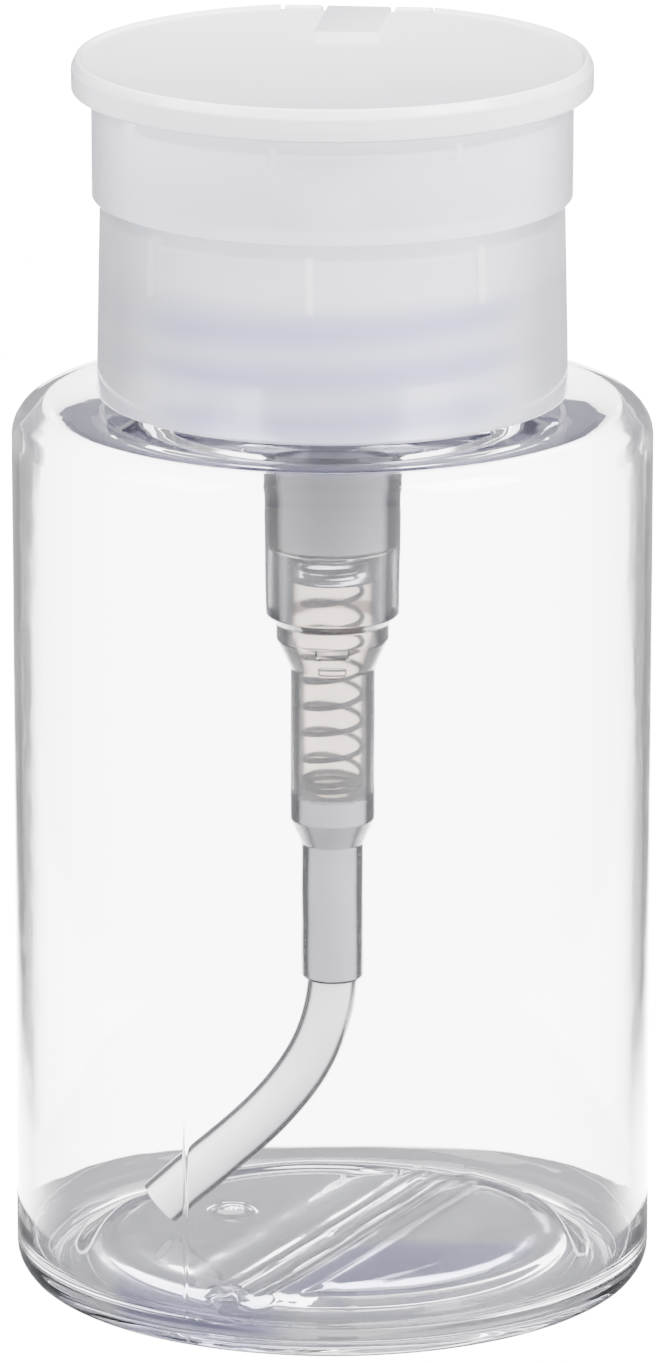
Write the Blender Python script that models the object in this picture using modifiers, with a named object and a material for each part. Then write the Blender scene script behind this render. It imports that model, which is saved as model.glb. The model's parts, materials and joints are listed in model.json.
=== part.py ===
"""Push-down soap dispenser: a clear bottle, a screw collar, a plunger pump and a press head under a flip lid.

Blender 4.5, metres, +Z up. The origin is on the bottle's axis in the plane that the bottle stands on.
The front faces -Y, and the lid's hinge is at the back.
"""

import math

import bmesh
import bpy
from mathutils import Matrix, Vector

# Fits
REST_GAP = 0.0003      # between pieces that rest on each other
SLIDE_GAP = 0.00015    # radial, of a piece that slides or turns in another
SCREW_GAP = 0.0004     # radial, between a thread's crest and the other thread's root

# Bottle
BOTTLE_RADIUS = 0.030
BOTTLE_WALL = 0.0009
SHOULDER_HEIGHT = 0.0846
SHOULDER_EDGE = 0.003
HEEL_RADIUS = 0.0029
STANDING_RING_WIDTH = 0.0022
PUSH_UP = 0.0022       # rise of the base's middle
PUSH_UP_CROWN = 0.00033    # the last part of that rise, inside its steep edge
PUSH_UP_EDGE = 0.0062      # width of the steep edge
LOBE_DEPTH = 0.0005    # further rise of the two half-moon lobes
LOBE_RADIUS = 0.0165
RIDGE_WIDTH = 0.006
RIDGE_ANGLE = math.radians(63)
BASE_FLOOR = 0.0012
NECK_HEIGHT = 0.0149
NECK_RADIUS = 0.0151   # at the thread's root
NECK_WALL = 0.0017
NECK_FILLET = 0.0008

# Thread, right-handed
THREAD_LEAD = 0.0042
THREAD_BEAD = 0.00075
THREAD_SINK = 0.00015  # how far the bead's middle stands off the wall
THREAD_END = 0.35      # part of the bead's radius that is left at its ends
THREAD_POINTS = 28     # in each turn
THREAD_FADE = 0.14     # of a turn, at each end
NECK_THREAD_TURNS = 1.5
COLLAR_THREAD_TURNS = 1.25
THREAD_DROP = 0.0083   # from the neck's top to the thread's lower end

# Pump housing, with depths below the neck's top
GASKET_THICKNESS = 0.001
FLANGE_OVERHANG = 0.0007   # beyond the neck's wall, also of the gasket
FLANGE_THICKNESS = 0.0012
HOUSING_RADIUS = 0.0066
HOUSING_DRAFT = 0.0003
HOUSING_RISE = 0.0014  # above the flange
GUIDE_BORE = 0.0061
GUIDE_BORE_DEPTH = 0.0286
CYLINDER_BORE = 0.0045
SHELL_STEP_DEPTH = 0.0352
CYLINDER_WALL = 0.00085
CYLINDER_DEPTH = 0.0377
SPRING_BORE = 0.00335
SPRING_TUBE_WALL = 0.00065
TAPER_DEPTH = 0.0406
LEDGE_DEPTH = 0.0529
LEDGE_THICKNESS = 0.0005
LEDGE_HOLE = 0.0016
BALL_CAGE_RADIUS = 0.0022
BALL_CAGE_DEPTH = 0.0562
INLET_BORE = 0.0012
SOCKET_SHOULDER_DEPTH = 0.05757
SOCKET_DEPTH = 0.0588
SOCKET_WALL = 0.00044
SOCKET_LIP = 0.00015
SOCKET_END_DEPTH = 0.0709
VENT_RADIUS = 0.0004
VENT_DEPTH = 0.0035

# Stem guide, piston and stem
GUIDE_WALL = 0.00095
GUIDE_CAP = 0.0012
GUIDE_RISE = 0.0002    # of the guide's cap above the neck flange's top
STEM_RADIUS = 0.0025
STEM_BORE = 0.0010
STEM_FLANGE_REACH = 0.0018
STEM_FLANGE_THICKNESS = 0.001
STEM_RISE = 0.0117     # of the stem's top above the neck's top
VALVE_BORE = 0.0019
VALVE_SEAT_RISE = 0.0045
PISTON_BOTTOM_DEPTH = 0.0317
PISTON_CUP_DEPTH = 0.0022
PISTON_BODY_HEIGHT = 0.0030
PISTON_NECK_HEIGHT = 0.0024
PISTON_LIP = 0.0002    # how far the lips stand off the piston's body
PISTON_TOP_LIP_HEIGHT = 0.0006
PISTON_LIP_HEIGHT = 0.0008
PISTON_LIP_SLOPE = 0.0004
PISTON_NOSE = 0.0006

# Balls and spring
INLET_BALL_RADIUS = 0.00175
OUTLET_BALL_RADIUS = 0.0015
BALL_GAP = 0.0001
SPRING_WIRE = 0.00045
SPRING_PITCH = 0.0024
SPRING_CLOSED_TURNS = 1.75
SPRING_CLOSED_GAP = 0.00005  # between closed turns
SPRING_POINTS = 12     # in each turn
SPRING_GAP = 0.00015

# Dip tube
TUBE_RADIUS = 0.002335
TUBE_WALL = 0.00055
TUBE_STRAIGHT = 0.0009   # below the socket
TUBE_END_SHARE = 0.543   # of the bottle's radius, to the left
TUBE_END_HEIGHT = 0.0062
TUBE_END_ANGLE = math.radians(43)
TUBE_UPPER_PULL = 0.40   # of the bend's reach, how far the upper end keeps its heading
TUBE_LOWER_PULL = 0.35   # the same for the lower end

# Screw collar
WEB_THICKNESS = 0.0012
COLLAR_WALL = 0.0009
COLLAR_DRAFT = 0.00048
COLLAR_BOTTOM_GAP = 0.0006
COLLAR_GUIDE_RISE = 0.0018
SLEEVE_WALL = 0.001
SLEEVE_DEPTH = 0.0095
COLLAR_RIB_COUNT = 8
COLLAR_RIB_THICKNESS = 0.0006
COLLAR_RIB_REACH = 0.001
COLLAR_RIB_DEPTH = 0.0018
COLLAR_RIB_TURN = math.radians(-5.6)

# Press head
HEAD_RADIUS = 0.02235
HEAD_WALL = 0.0005
HEAD_RIM_STEP = 0.0001 # how far the wall thickens inwards above the dish
HEAD_GAP = 0.0003      # radial, between the head's skirt and the collar
HEAD_LIP_GAP = 0.0005  # of the skirt's lip above the collar's web
HEAD_HEIGHT = 0.0115
HEAD_LIP_CHAMFER = 0.0003
STROKE = 0.005
DISH_DEPTH = 0.0019    # of the dish's edge below the rim
DISH_SAG = 0.0009
DISH_THICKNESS = 0.0012
BOSS_WALL = 0.0012
HEAD_RIB_COUNT = 8
HEAD_RIB_THICKNESS = 0.0006
HEAD_RIB_REACH = 0.0015
HEAD_RIB_HEIGHT = 0.0018
HEAD_RIB_TURN = math.radians(-13.8)

# Nozzle cap
NOZZLE_RADIUS = 0.0055
NOZZLE_RECESS = 0.0012
NOZZLE_THICKNESS = 0.001
NOZZLE_CROWN = 0.00017
NOZZLE_CORNER = 0.0005
NOZZLE_SKIRT = 0.0006
NOZZLE_CHAMBER = 0.0004
NOZZLE_STUB_RADIUS = 0.0015
NOZZLE_STUB_SINK = 0.0023  # into the stem
NOZZLE_HOLE_RADIUS = 0.00055
NOZZLE_HOLE_CIRCLE = 0.0033
NOZZLE_HOLE_COUNT = 6

# Lid and hinge
LID_OVERHANG = 0.00185 # beyond the head's wall
LID_WALL = 0.001
LID_RIM_HEIGHT = 0.0026
LID_OVERLAP = 0.001    # of the lid's rim below the head's rim
LID_CORNER = 0.0009
LID_THICKNESS = 0.001
LID_SAG = 0.0009
LID_LIP = 0.0003       # of the rim's crest above the dished face
PLUG_HEIGHT = 0.0009
PLUG_WALL = 0.0005
HINGE_TURN = math.radians(-6)
HINGE_OFFSET = 0.00155 # of the pin outside the head's wall
HINGE_DROP = 0.00035   # of the barrel's crest below the lid's
PIN_RADIUS = 0.00065
BARREL_RADIUS = 0.00135
BARREL_WIDTH = 0.006
BARREL_GAP = 0.00045
LUG_WIDTH = 0.00355
LUG_HEIGHT = 0.0026
LUG_SLOPE = 0.0006     # how far the lug's foot ends inside the pin
TAB_LENGTH = 0.0119
TAB_SINK = 0.0002       # of the tab's underside into the lid

# Levels and radii that follow
FINE = 48
SMALL = 24
NECK_TOP = SHOULDER_HEIGHT + NECK_HEIGHT
NECK_BORE = NECK_RADIUS - NECK_WALL
FLANGE_RADIUS = NECK_RADIUS + FLANGE_OVERHANG
GASKET_BOTTOM = NECK_TOP + REST_GAP
FLANGE_BOTTOM = GASKET_BOTTOM + GASKET_THICKNESS + REST_GAP
FLANGE_TOP = FLANGE_BOTTOM + FLANGE_THICKNESS
WEB_BOTTOM = FLANGE_TOP + REST_GAP
WEB_TOP = WEB_BOTTOM + WEB_THICKNESS
HEAD_LIP = WEB_TOP + HEAD_LIP_GAP
HEAD_TOP = HEAD_LIP + HEAD_HEIGHT
HEAD_BORE = HEAD_RADIUS - HEAD_WALL
RIM_BORE = HEAD_BORE - HEAD_RIM_STEP
COLLAR_TOP_RADIUS = HEAD_BORE - HEAD_GAP
COLLAR_TOP = WEB_TOP + COLLAR_GUIDE_RISE
COLLAR_BOTTOM = SHOULDER_HEIGHT + COLLAR_BOTTOM_GAP + NECK_FILLET / 2
SLEEVE_BORE = NECK_RADIUS + THREAD_SINK + THREAD_BEAD + SCREW_GAP
GUIDE_TOP = FLANGE_TOP + GUIDE_RISE
GUIDE_RADIUS = GUIDE_BORE - SLIDE_GAP
GUIDE_LEDGE = NECK_TOP - GUIDE_BORE_DEPTH
SPRING_FOOT = NECK_TOP - LEDGE_DEPTH + SPRING_GAP
PISTON_BOTTOM = NECK_TOP - PISTON_BOTTOM_DEPTH
PISTON_CUP = PISTON_BOTTOM + PISTON_CUP_DEPTH
SPRING_TOP = PISTON_CUP - SPRING_GAP
STEM_TOP = NECK_TOP + STEM_RISE
SOCKET_BORE = TUBE_RADIUS + SLIDE_GAP
DISH_EDGE = HEAD_TOP - DISH_DEPTH
DISH_MIDDLE = DISH_EDGE - DISH_SAG
RECESS_FLOOR = DISH_MIDDLE - NOZZLE_RECESS
BOSS_BOTTOM = GUIDE_TOP + STROKE + SCREW_GAP
NOZZLE_UNDERSIDE = RECESS_FLOOR + REST_GAP + NOZZLE_CHAMBER
LID_RADIUS = HEAD_RADIUS + LID_OVERHANG
LID_BOTTOM = HEAD_TOP - LID_OVERLAP
LID_CREST = LID_BOTTOM + LID_RIM_HEIGHT
LID_UNDERSIDE = HEAD_TOP + REST_GAP
PIN_PLACE = Vector((0, HEAD_RADIUS + HINGE_OFFSET, LID_CREST - HINGE_DROP - BARREL_RADIUS))
HINGE_FRAME = Matrix.Rotation(HINGE_TURN, 4, "Z")


def clear_scene():
    for obj in list(bpy.data.objects):
        bpy.data.objects.remove(obj, do_unlink=True)


def make_collection(name):
    collection = bpy.data.collections.new(name)
    bpy.context.scene.collection.children.link(collection)
    return collection


def make_material(name, colour, roughness, metallic=0.0, alpha=1.0):
    material = bpy.data.materials.new(name)
    material.use_nodes = True
    shader = material.node_tree.nodes["Principled BSDF"]
    shader.inputs["Base Color"].default_value = (*colour, 1)
    shader.inputs["Roughness"].default_value = roughness
    shader.inputs["Metallic"].default_value = metallic
    shader.inputs["Alpha"].default_value = alpha
    return material


def add_object(name, mesh, collection, material=None):
    obj = bpy.data.objects.new(name, mesh)
    collection.objects.link(obj)
    if material:
        mesh.materials.append(material)
    return obj


def add_cutter(name, mesh):
    obj = add_object(name, mesh, CUTTERS)
    obj.hide_render = True
    obj.display_type = "WIRE"
    return obj


def shade_round(obj, angle=math.radians(35)):
    if obj.data.polygons:
        obj.data.shade_smooth()
        obj.data.set_sharp_from_angle(angle=angle)


def arc(centre, radius, start, end, steps):
    """Points (radius, height) round a centre, from one angle to another in degrees."""
    points = []
    for i in range(steps + 1):
        angle = math.radians(start + (end - start) * i / steps)
        points.append((centre[0] + radius * math.cos(angle), centre[1] + radius * math.sin(angle)))
    return points


def bowl(radius, middle, edge, steps):
    """Points from the axis outwards along a shallow parabola that rises from middle to edge."""
    return [(radius * i / steps, middle + (edge - middle) * (i / steps) ** 2) for i in range(steps + 1)]


def turned_mesh(name, outline, steps):
    """An outline of (radius, height) points turned about Z, with its outer side made to run down."""
    on_axis = outline[0][0] == 0 and outline[-1][0] == 0
    area = 0
    for (r1, z1), (r2, z2) in zip(outline, outline[1:] + outline[:1]):
        area += r1 * z2 - r2 * z1
    if area > 0:
        outline = outline[::-1]
    count = len(outline)
    edges = [(i, i + 1) for i in range(count - 1)]
    if not on_axis:
        edges.append((count - 1, 0))
    mesh = bpy.data.meshes.new(name)
    mesh.from_pydata([(r, 0, z) for r, z in outline], edges, [])
    guide = bpy.data.objects.new(name + "_outline", mesh)
    CUTTERS.objects.link(guide)
    screw = guide.modifiers.new("Turn", "SCREW")
    screw.angle = 2 * math.pi
    screw.steps = steps
    screw.render_steps = steps
    screw.use_merge_vertices = True
    screw.merge_threshold = 1e-6
    return plain_mesh(guide)


def plain_mesh(obj):
    """The object's evaluated mesh, welded and in world space. The object is removed."""
    bpy.context.view_layer.update()
    mesh = bpy.data.meshes.new_from_object(obj.evaluated_get(bpy.context.evaluated_depsgraph_get()))
    mesh.transform(obj.matrix_world)
    bpy.data.objects.remove(obj, do_unlink=True)
    work = bmesh.new()
    work.from_mesh(mesh)
    bmesh.ops.remove_doubles(work, verts=work.verts, dist=1e-7)
    work.to_mesh(mesh)
    work.free()
    return mesh


def turned(name, outline, material, steps=FINE):
    return add_object(name, turned_mesh(name, outline, steps), PARTS, material)


def boxes_mesh(name, boxes):
    """Boxes in one mesh, each a size, a centre and the matrix that places it."""
    work = bmesh.new()
    for size, centre, place in boxes:
        matrix = place @ Matrix.Translation(centre) @ Matrix.Diagonal((*size, 1))
        bmesh.ops.create_cube(work, size=1, matrix=matrix)
    mesh = bpy.data.meshes.new(name)
    work.to_mesh(mesh)
    work.free()
    return mesh


def cylinders_mesh(name, cylinders, sides):
    """Cylinders in one mesh, each a radius, a length and the matrix that lays its middle and its Z axis."""
    work = bmesh.new()
    for radius, length, place in cylinders:
        bmesh.ops.create_cone(
            work, cap_ends=True, segments=sides, radius1=radius, radius2=radius, depth=length, matrix=place
        )
    mesh = bpy.data.meshes.new(name)
    work.to_mesh(mesh)
    work.free()
    return mesh


def combine(obj, other, operation):
    """A Boolean modifier on obj, whose other mesh is kept as a hidden helper."""
    modifier = obj.modifiers.new(other.name, "BOOLEAN")
    modifier.operation = operation
    modifier.object = other
    modifier.solver = "EXACT"


def wire_mesh(name, points, radius, resolution, shares=None, caps=True):
    """A tube along a poly line; shares are each point's part of the radius."""
    curve = bpy.data.curves.new(name, "CURVE")
    curve.dimensions = "3D"
    curve.bevel_depth = radius
    curve.bevel_resolution = resolution
    curve.use_fill_caps = caps
    spline = curve.splines.new("POLY")
    spline.points.add(len(points) - 1)
    for i, point in enumerate(points):
        spline.points[i].co = (*point, 1)
        spline.points[i].radius = shares[i] if shares else 1
    obj = bpy.data.objects.new(name, curve)
    CUTTERS.objects.link(obj)
    return plain_mesh(obj)


def thread_mesh(name, radius, low, turns):
    """A rounded thread that rises from its low end at the front and fades out at both ends."""
    count = round(turns * THREAD_POINTS)
    fade = THREAD_FADE * THREAD_POINTS
    points = []
    shares = []
    for i in range(count + 1):
        angle = 2 * math.pi * i / THREAD_POINTS - math.pi / 2
        height = low + THREAD_LEAD * i / THREAD_POINTS
        points.append((radius * math.cos(angle), radius * math.sin(angle), height))
        shares.append(THREAD_END + (1 - THREAD_END) * min(1, i / fade, (count - i) / fade))
    return wire_mesh(name, points, THREAD_BEAD, 1, shares)


def wheel_boxes(count, turn, size, centre):
    """The same box repeated round Z. Its centre is given for azimuth zero, which faces the front."""
    boxes = []
    for i in range(count):
        place = Matrix.Rotation(turn + 2 * math.pi * i / count, 4, "Z")
        boxes.append((size, Vector(centre), place))
    return boxes


def make_bottle():
    ring_outer = BOTTLE_RADIUS - HEEL_RADIUS
    ring_inner = ring_outer - STANDING_RING_WIDTH
    edge = BOTTLE_RADIUS - SHOULDER_EDGE
    side = SHOULDER_HEIGHT - SHOULDER_EDGE
    fillet = (NECK_RADIUS + NECK_FILLET, SHOULDER_HEIGHT + NECK_FILLET)
    floor = PUSH_UP + LOBE_DEPTH + BASE_FLOOR
    heel_floor = (BOTTLE_RADIUS - HEEL_RADIUS - BOTTLE_WALL, HEEL_RADIUS + BASE_FLOOR)
    outline = [(0, PUSH_UP), (ring_inner - PUSH_UP_EDGE, PUSH_UP - PUSH_UP_CROWN), (ring_inner, 0)]
    outline += arc((ring_outer, HEEL_RADIUS), HEEL_RADIUS, -90, 0, 4)
    outline += arc((edge, side), SHOULDER_EDGE, 0, 90, 4)
    outline += arc(fillet, NECK_FILLET, 270, 180, 2)
    outline += [(NECK_RADIUS, NECK_TOP), (NECK_BORE, NECK_TOP)]
    outline += [(NECK_BORE, SHOULDER_HEIGHT + NECK_FILLET), (NECK_BORE + NECK_FILLET, SHOULDER_HEIGHT - BOTTLE_WALL)]
    outline += arc((edge - BOTTLE_WALL, side - BOTTLE_WALL), SHOULDER_EDGE, 90, 0, 3)
    outline += arc(heel_floor, HEEL_RADIUS, 0, -90, 3)
    outline += [(LOBE_RADIUS + BASE_FLOOR, floor - LOBE_DEPTH), (LOBE_RADIUS, floor), (0, floor)]
    bottle = turned("bottle", outline, CLEAR)
    lobes = make_lobes()
    combine(bottle, lobes, "DIFFERENCE")
    low = NECK_TOP - THREAD_DROP
    mesh = thread_mesh("neck_thread", NECK_RADIUS + THREAD_SINK, low, NECK_THREAD_TURNS)
    combine(bottle, add_cutter("neck_thread", mesh), "UNION")
    return bottle


def make_lobes():
    """Two half-moons, left and right of a ridge across the base, that the bottle's underside is cut by."""
    height = PUSH_UP + LOBE_DEPTH
    place = Matrix.Translation((0, 0, height / 2))
    lobes = add_cutter("base_lobes", cylinders_mesh("base_lobes", [(LOBE_RADIUS, height, place)], FINE))
    ridge_place = Matrix.Rotation(RIDGE_ANGLE, 4, "Z")
    size = (3 * LOBE_RADIUS, RIDGE_WIDTH, 3 * height)
    ridge = add_cutter("base_ridge", boxes_mesh("base_ridge", [(size, Vector((0, 0, 0)), ridge_place)]))
    combine(lobes, ridge, "DIFFERENCE")
    return lobes


def make_gasket():
    low = GASKET_BOTTOM
    high = low + GASKET_THICKNESS
    outline = [(FLANGE_RADIUS, high), (FLANGE_RADIUS, low), (NECK_BORE, low), (NECK_BORE, high)]
    return turned("neck_gasket", outline, FOAM)


def make_housing():
    neck_draft = HOUSING_RADIUS - HOUSING_DRAFT
    cylinder = CYLINDER_BORE + CYLINDER_WALL
    spring_tube = SPRING_BORE + SPRING_TUBE_WALL
    socket = SOCKET_BORE + SOCKET_WALL
    top = FLANGE_TOP + HOUSING_RISE
    step = NECK_TOP - SHELL_STEP_DEPTH
    end = NECK_TOP - SOCKET_END_DEPTH
    ledge = NECK_TOP - LEDGE_DEPTH
    cage = NECK_TOP - BALL_CAGE_DEPTH
    seat = BALL_CAGE_RADIUS - INLET_BORE
    outer = [
        (HOUSING_RADIUS, top),
        (HOUSING_RADIUS, FLANGE_TOP),
        (FLANGE_RADIUS, FLANGE_TOP),
        (FLANGE_RADIUS, FLANGE_BOTTOM),
        (HOUSING_RADIUS, FLANGE_BOTTOM),
        (neck_draft, step),
        (cylinder, step - (neck_draft - cylinder)),
        (cylinder, NECK_TOP - CYLINDER_DEPTH),
        (spring_tube, NECK_TOP - TAPER_DEPTH),
        (spring_tube, cage + seat),
        (socket, NECK_TOP - SOCKET_SHOULDER_DEPTH),
        (socket, end + SOCKET_WALL),
        (SOCKET_BORE + SOCKET_LIP, end),
        (SOCKET_BORE, end),
    ]
    inner = [
        (SOCKET_BORE, NECK_TOP - SOCKET_DEPTH),
        (INLET_BORE, NECK_TOP - SOCKET_DEPTH),
        (INLET_BORE, cage - seat),
        (BALL_CAGE_RADIUS, cage),
        (BALL_CAGE_RADIUS, ledge - LEDGE_THICKNESS),
        (LEDGE_HOLE, ledge - LEDGE_THICKNESS),
        (LEDGE_HOLE, ledge),
        (SPRING_BORE, ledge),
        (SPRING_BORE, NECK_TOP - TAPER_DEPTH),
        (CYLINDER_BORE, NECK_TOP - CYLINDER_DEPTH),
        (CYLINDER_BORE, GUIDE_LEDGE),
        (GUIDE_BORE, GUIDE_LEDGE),
        (GUIDE_BORE, top),
    ]
    housing = turned("pump_housing", outer + inner, MILKY, SMALL)
    turn = Matrix.Rotation(math.pi / 2, 4, "Y")
    place = Matrix.Translation((HOUSING_RADIUS, 0, NECK_TOP - VENT_DEPTH)) @ turn
    vent = add_cutter("vent", cylinders_mesh("vent", [(VENT_RADIUS, HOUSING_RADIUS, place)], 10))
    combine(housing, vent, "DIFFERENCE")
    return housing


def make_guide():
    bore = GUIDE_RADIUS - GUIDE_WALL
    hole = STEM_RADIUS + SLIDE_GAP
    outline = [
        (GUIDE_RADIUS, GUIDE_TOP),
        (GUIDE_RADIUS, GUIDE_LEDGE + REST_GAP),
        (bore, GUIDE_LEDGE + REST_GAP),
        (bore, GUIDE_TOP - GUIDE_CAP),
        (hole, GUIDE_TOP - GUIDE_CAP),
        (hole, GUIDE_TOP),
    ]
    return turned("stem_guide", outline, WHITE, SMALL)


def make_piston():
    lip = CYLINDER_BORE - SLIDE_GAP
    body = lip - PISTON_LIP
    cup = SPRING_BORE
    bore = STEM_RADIUS + SLIDE_GAP
    shoulder = PISTON_BOTTOM + PISTON_BODY_HEIGHT
    neck = (bore + body) / 2
    outline = [
        (neck, shoulder + PISTON_NECK_HEIGHT),
        (neck, shoulder),
        (lip, shoulder),
        (body, shoulder - PISTON_TOP_LIP_HEIGHT),
        (body, PISTON_BOTTOM + PISTON_LIP_HEIGHT + PISTON_LIP_SLOPE),
        (lip, PISTON_BOTTOM + PISTON_LIP_HEIGHT),
    ]
    outline += arc((lip - PISTON_NOSE, PISTON_BOTTOM + PISTON_NOSE), PISTON_NOSE, 0, -90, 2)
    outline += [(cup, PISTON_BOTTOM), (cup, PISTON_CUP), (bore, PISTON_CUP)]
    outline += [(bore, shoulder + PISTON_NECK_HEIGHT)]
    return turned("piston", outline, MILKY, SMALL)


def make_stem():
    stop = GUIDE_TOP - GUIDE_CAP - REST_GAP
    flange = stop - STEM_FLANGE_THICKNESS
    flange_radius = STEM_RADIUS + STEM_FLANGE_REACH
    seat = NECK_TOP + VALVE_SEAT_RISE
    outline = [
        (STEM_RADIUS, STEM_TOP),
        (STEM_RADIUS, stop),
        (flange_radius, stop),
        (flange_radius, flange),
        (STEM_RADIUS, flange),
        (STEM_RADIUS, PISTON_CUP + REST_GAP),
        (STEM_BORE, PISTON_CUP + REST_GAP),
        (STEM_BORE, seat),
        (VALVE_BORE, seat + VALVE_BORE - STEM_BORE),
        (VALVE_BORE, STEM_TOP),
    ]
    return turned("piston_stem", outline, WHITE, SMALL)


def make_spring():
    """A compression spring: closed turns at both ends and open ones between."""
    radius = SPRING_BORE - 2 * SPRING_GAP - SPRING_WIRE / 2
    height = SPRING_TOP - SPRING_FOOT - SPRING_WIRE
    closed_pitch = SPRING_WIRE + SPRING_CLOSED_GAP
    closed_height = SPRING_CLOSED_TURNS * closed_pitch
    open_turns = max(1, round((height - 2 * closed_height) / SPRING_PITCH))
    turns = open_turns + 2 * SPRING_CLOSED_TURNS
    points = []
    for i in range(round(turns * SPRING_POINTS) + 1):
        turn = i / SPRING_POINTS
        low = min(turn, SPRING_CLOSED_TURNS)
        high = max(0, turn - SPRING_CLOSED_TURNS - open_turns)
        middle = turn - low - high
        rise = (low + high) * closed_pitch + middle * (height - 2 * closed_height) / open_turns
        angle = 2 * math.pi * turn
        height_here = SPRING_FOOT + SPRING_WIRE / 2 + rise
        points.append((radius * math.cos(angle), radius * math.sin(angle), height_here))
    return add_object("return_spring", wire_mesh("return_spring", points, SPRING_WIRE / 2, 1), PARTS, STEEL)


def ball_rest(bore, height, radius):
    """Height of a ball's centre on a 45 degree seat whose narrow end has this bore and height."""
    touch = radius / math.sqrt(2)
    return height + touch - bore + touch + BALL_GAP


def make_ball(name, radius, height):
    mesh = bpy.data.meshes.new(name)
    work = bmesh.new()
    bmesh.ops.create_uvsphere(work, u_segments=16, v_segments=10, radius=radius)
    work.to_mesh(mesh)
    work.free()
    ball = add_object(name, mesh, PARTS, STEEL)
    ball.location = (0, 0, height)
    return ball


def make_balls():
    inlet_seat = NECK_TOP - BALL_CAGE_DEPTH - (BALL_CAGE_RADIUS - INLET_BORE)
    outlet_seat = NECK_TOP + VALVE_SEAT_RISE
    inlet = make_ball("inlet_ball", INLET_BALL_RADIUS, ball_rest(INLET_BORE, inlet_seat, INLET_BALL_RADIUS))
    outlet = make_ball("outlet_ball", OUTLET_BALL_RADIUS, ball_rest(STEM_BORE, outlet_seat, OUTLET_BALL_RADIUS))
    return inlet, outlet


def make_tube():
    """The dip tube: straight in its socket, then bent to the left towards the bottle's heel."""
    top = NECK_TOP - SOCKET_DEPTH - REST_GAP
    bend = NECK_TOP - SOCKET_END_DEPTH + TUBE_STRAIGHT
    start = Vector((0, 0, bend))
    end = Vector((-TUBE_END_SHARE * BOTTLE_RADIUS, 0, TUBE_END_HEIGHT))
    reach = (end - start).length
    heading = Vector((-math.cos(TUBE_END_ANGLE), 0, -math.sin(TUBE_END_ANGLE)))
    first = start - Vector((0, 0, TUBE_UPPER_PULL * reach))
    second = end - heading * TUBE_LOWER_PULL * reach
    points = [Vector((0, 0, top)), Vector((0, 0, (top + bend) / 2))]
    for i in range(17):
        t = i / 16
        s = 1 - t
        points.append(s**3 * start + 3 * s * s * t * first + 3 * s * t * t * second + t**3 * end)
    mesh = wire_mesh("dip_tube", points, TUBE_RADIUS, 4, caps=False)
    tube = add_object("dip_tube", mesh, PARTS, MILKY)
    wall = tube.modifiers.new("Wall", "SOLIDIFY")
    wall.thickness = TUBE_WALL
    wall.offset = -1
    return tube


def make_collar():
    bottom_radius = COLLAR_TOP_RADIUS + COLLAR_DRAFT
    sleeve = SLEEVE_BORE + SLEEVE_WALL
    hole = HOUSING_RADIUS + SCREW_GAP
    guide = COLLAR_TOP_RADIUS - COLLAR_WALL
    outline = [
        (COLLAR_TOP_RADIUS, COLLAR_TOP),
        (bottom_radius, COLLAR_BOTTOM),
        (bottom_radius - COLLAR_WALL, COLLAR_BOTTOM),
        (guide, WEB_BOTTOM),
        (sleeve, WEB_BOTTOM),
        (sleeve, NECK_TOP - SLEEVE_DEPTH),
        (SLEEVE_BORE, NECK_TOP - SLEEVE_DEPTH),
        (SLEEVE_BORE, WEB_BOTTOM),
        (hole, WEB_BOTTOM),
        (hole, WEB_TOP),
        (guide, WEB_TOP),
        (guide, COLLAR_TOP),
    ]
    collar = turned("screw_collar", outline, FROSTED)
    low = NECK_TOP - THREAD_DROP + THREAD_LEAD / 2
    mesh = thread_mesh("collar_thread", SLEEVE_BORE - THREAD_SINK, low, COLLAR_THREAD_TURNS)
    combine(collar, add_cutter("collar_thread", mesh), "UNION")
    rib_low = NECK_TOP - COLLAR_RIB_DEPTH
    rib_high = WEB_BOTTOM + WEB_THICKNESS / 2
    reach = COLLAR_RIB_REACH + COLLAR_WALL / 2
    size = (COLLAR_RIB_THICKNESS, reach, rib_high - rib_low)
    centre = (0, -(guide + COLLAR_WALL / 2 - reach / 2), (rib_low + rib_high) / 2)
    boxes = wheel_boxes(COLLAR_RIB_COUNT, COLLAR_RIB_TURN, size, centre)
    combine(collar, add_cutter("collar_ribs", boxes_mesh("collar_ribs", boxes)), "UNION")
    return collar


def across(offset):
    """The matrix of a cylinder that lies along the hinge, its middle offset along it."""
    turn = Matrix.Rotation(math.pi / 2, 4, "Y")
    return HINGE_FRAME @ Matrix.Translation(PIN_PLACE + Vector((offset, 0, 0))) @ turn


def hinge_plate_mesh(name, outline, width, offset):
    """An outline of (depth, height) points, extruded to a width along the hinge."""
    curve = bpy.data.curves.new(name, "CURVE")
    curve.dimensions = "2D"
    curve.fill_mode = "BOTH"
    curve.extrude = width / 2
    spline = curve.splines.new("POLY")
    spline.use_cyclic_u = True
    spline.points.add(len(outline) - 1)
    for point, (depth, height) in zip(spline.points, outline):
        point.co = (depth, height, 0, 1)
    obj = bpy.data.objects.new(name, curve)
    CUTTERS.objects.link(obj)
    upright = Matrix(((0, 0, 1, 0), (1, 0, 0, 0), (0, 1, 0, 0), (0, 0, 0, 1)))
    obj.matrix_world = HINGE_FRAME @ Matrix.Translation((offset, 0, 0)) @ upright
    return plain_mesh(obj)


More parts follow.
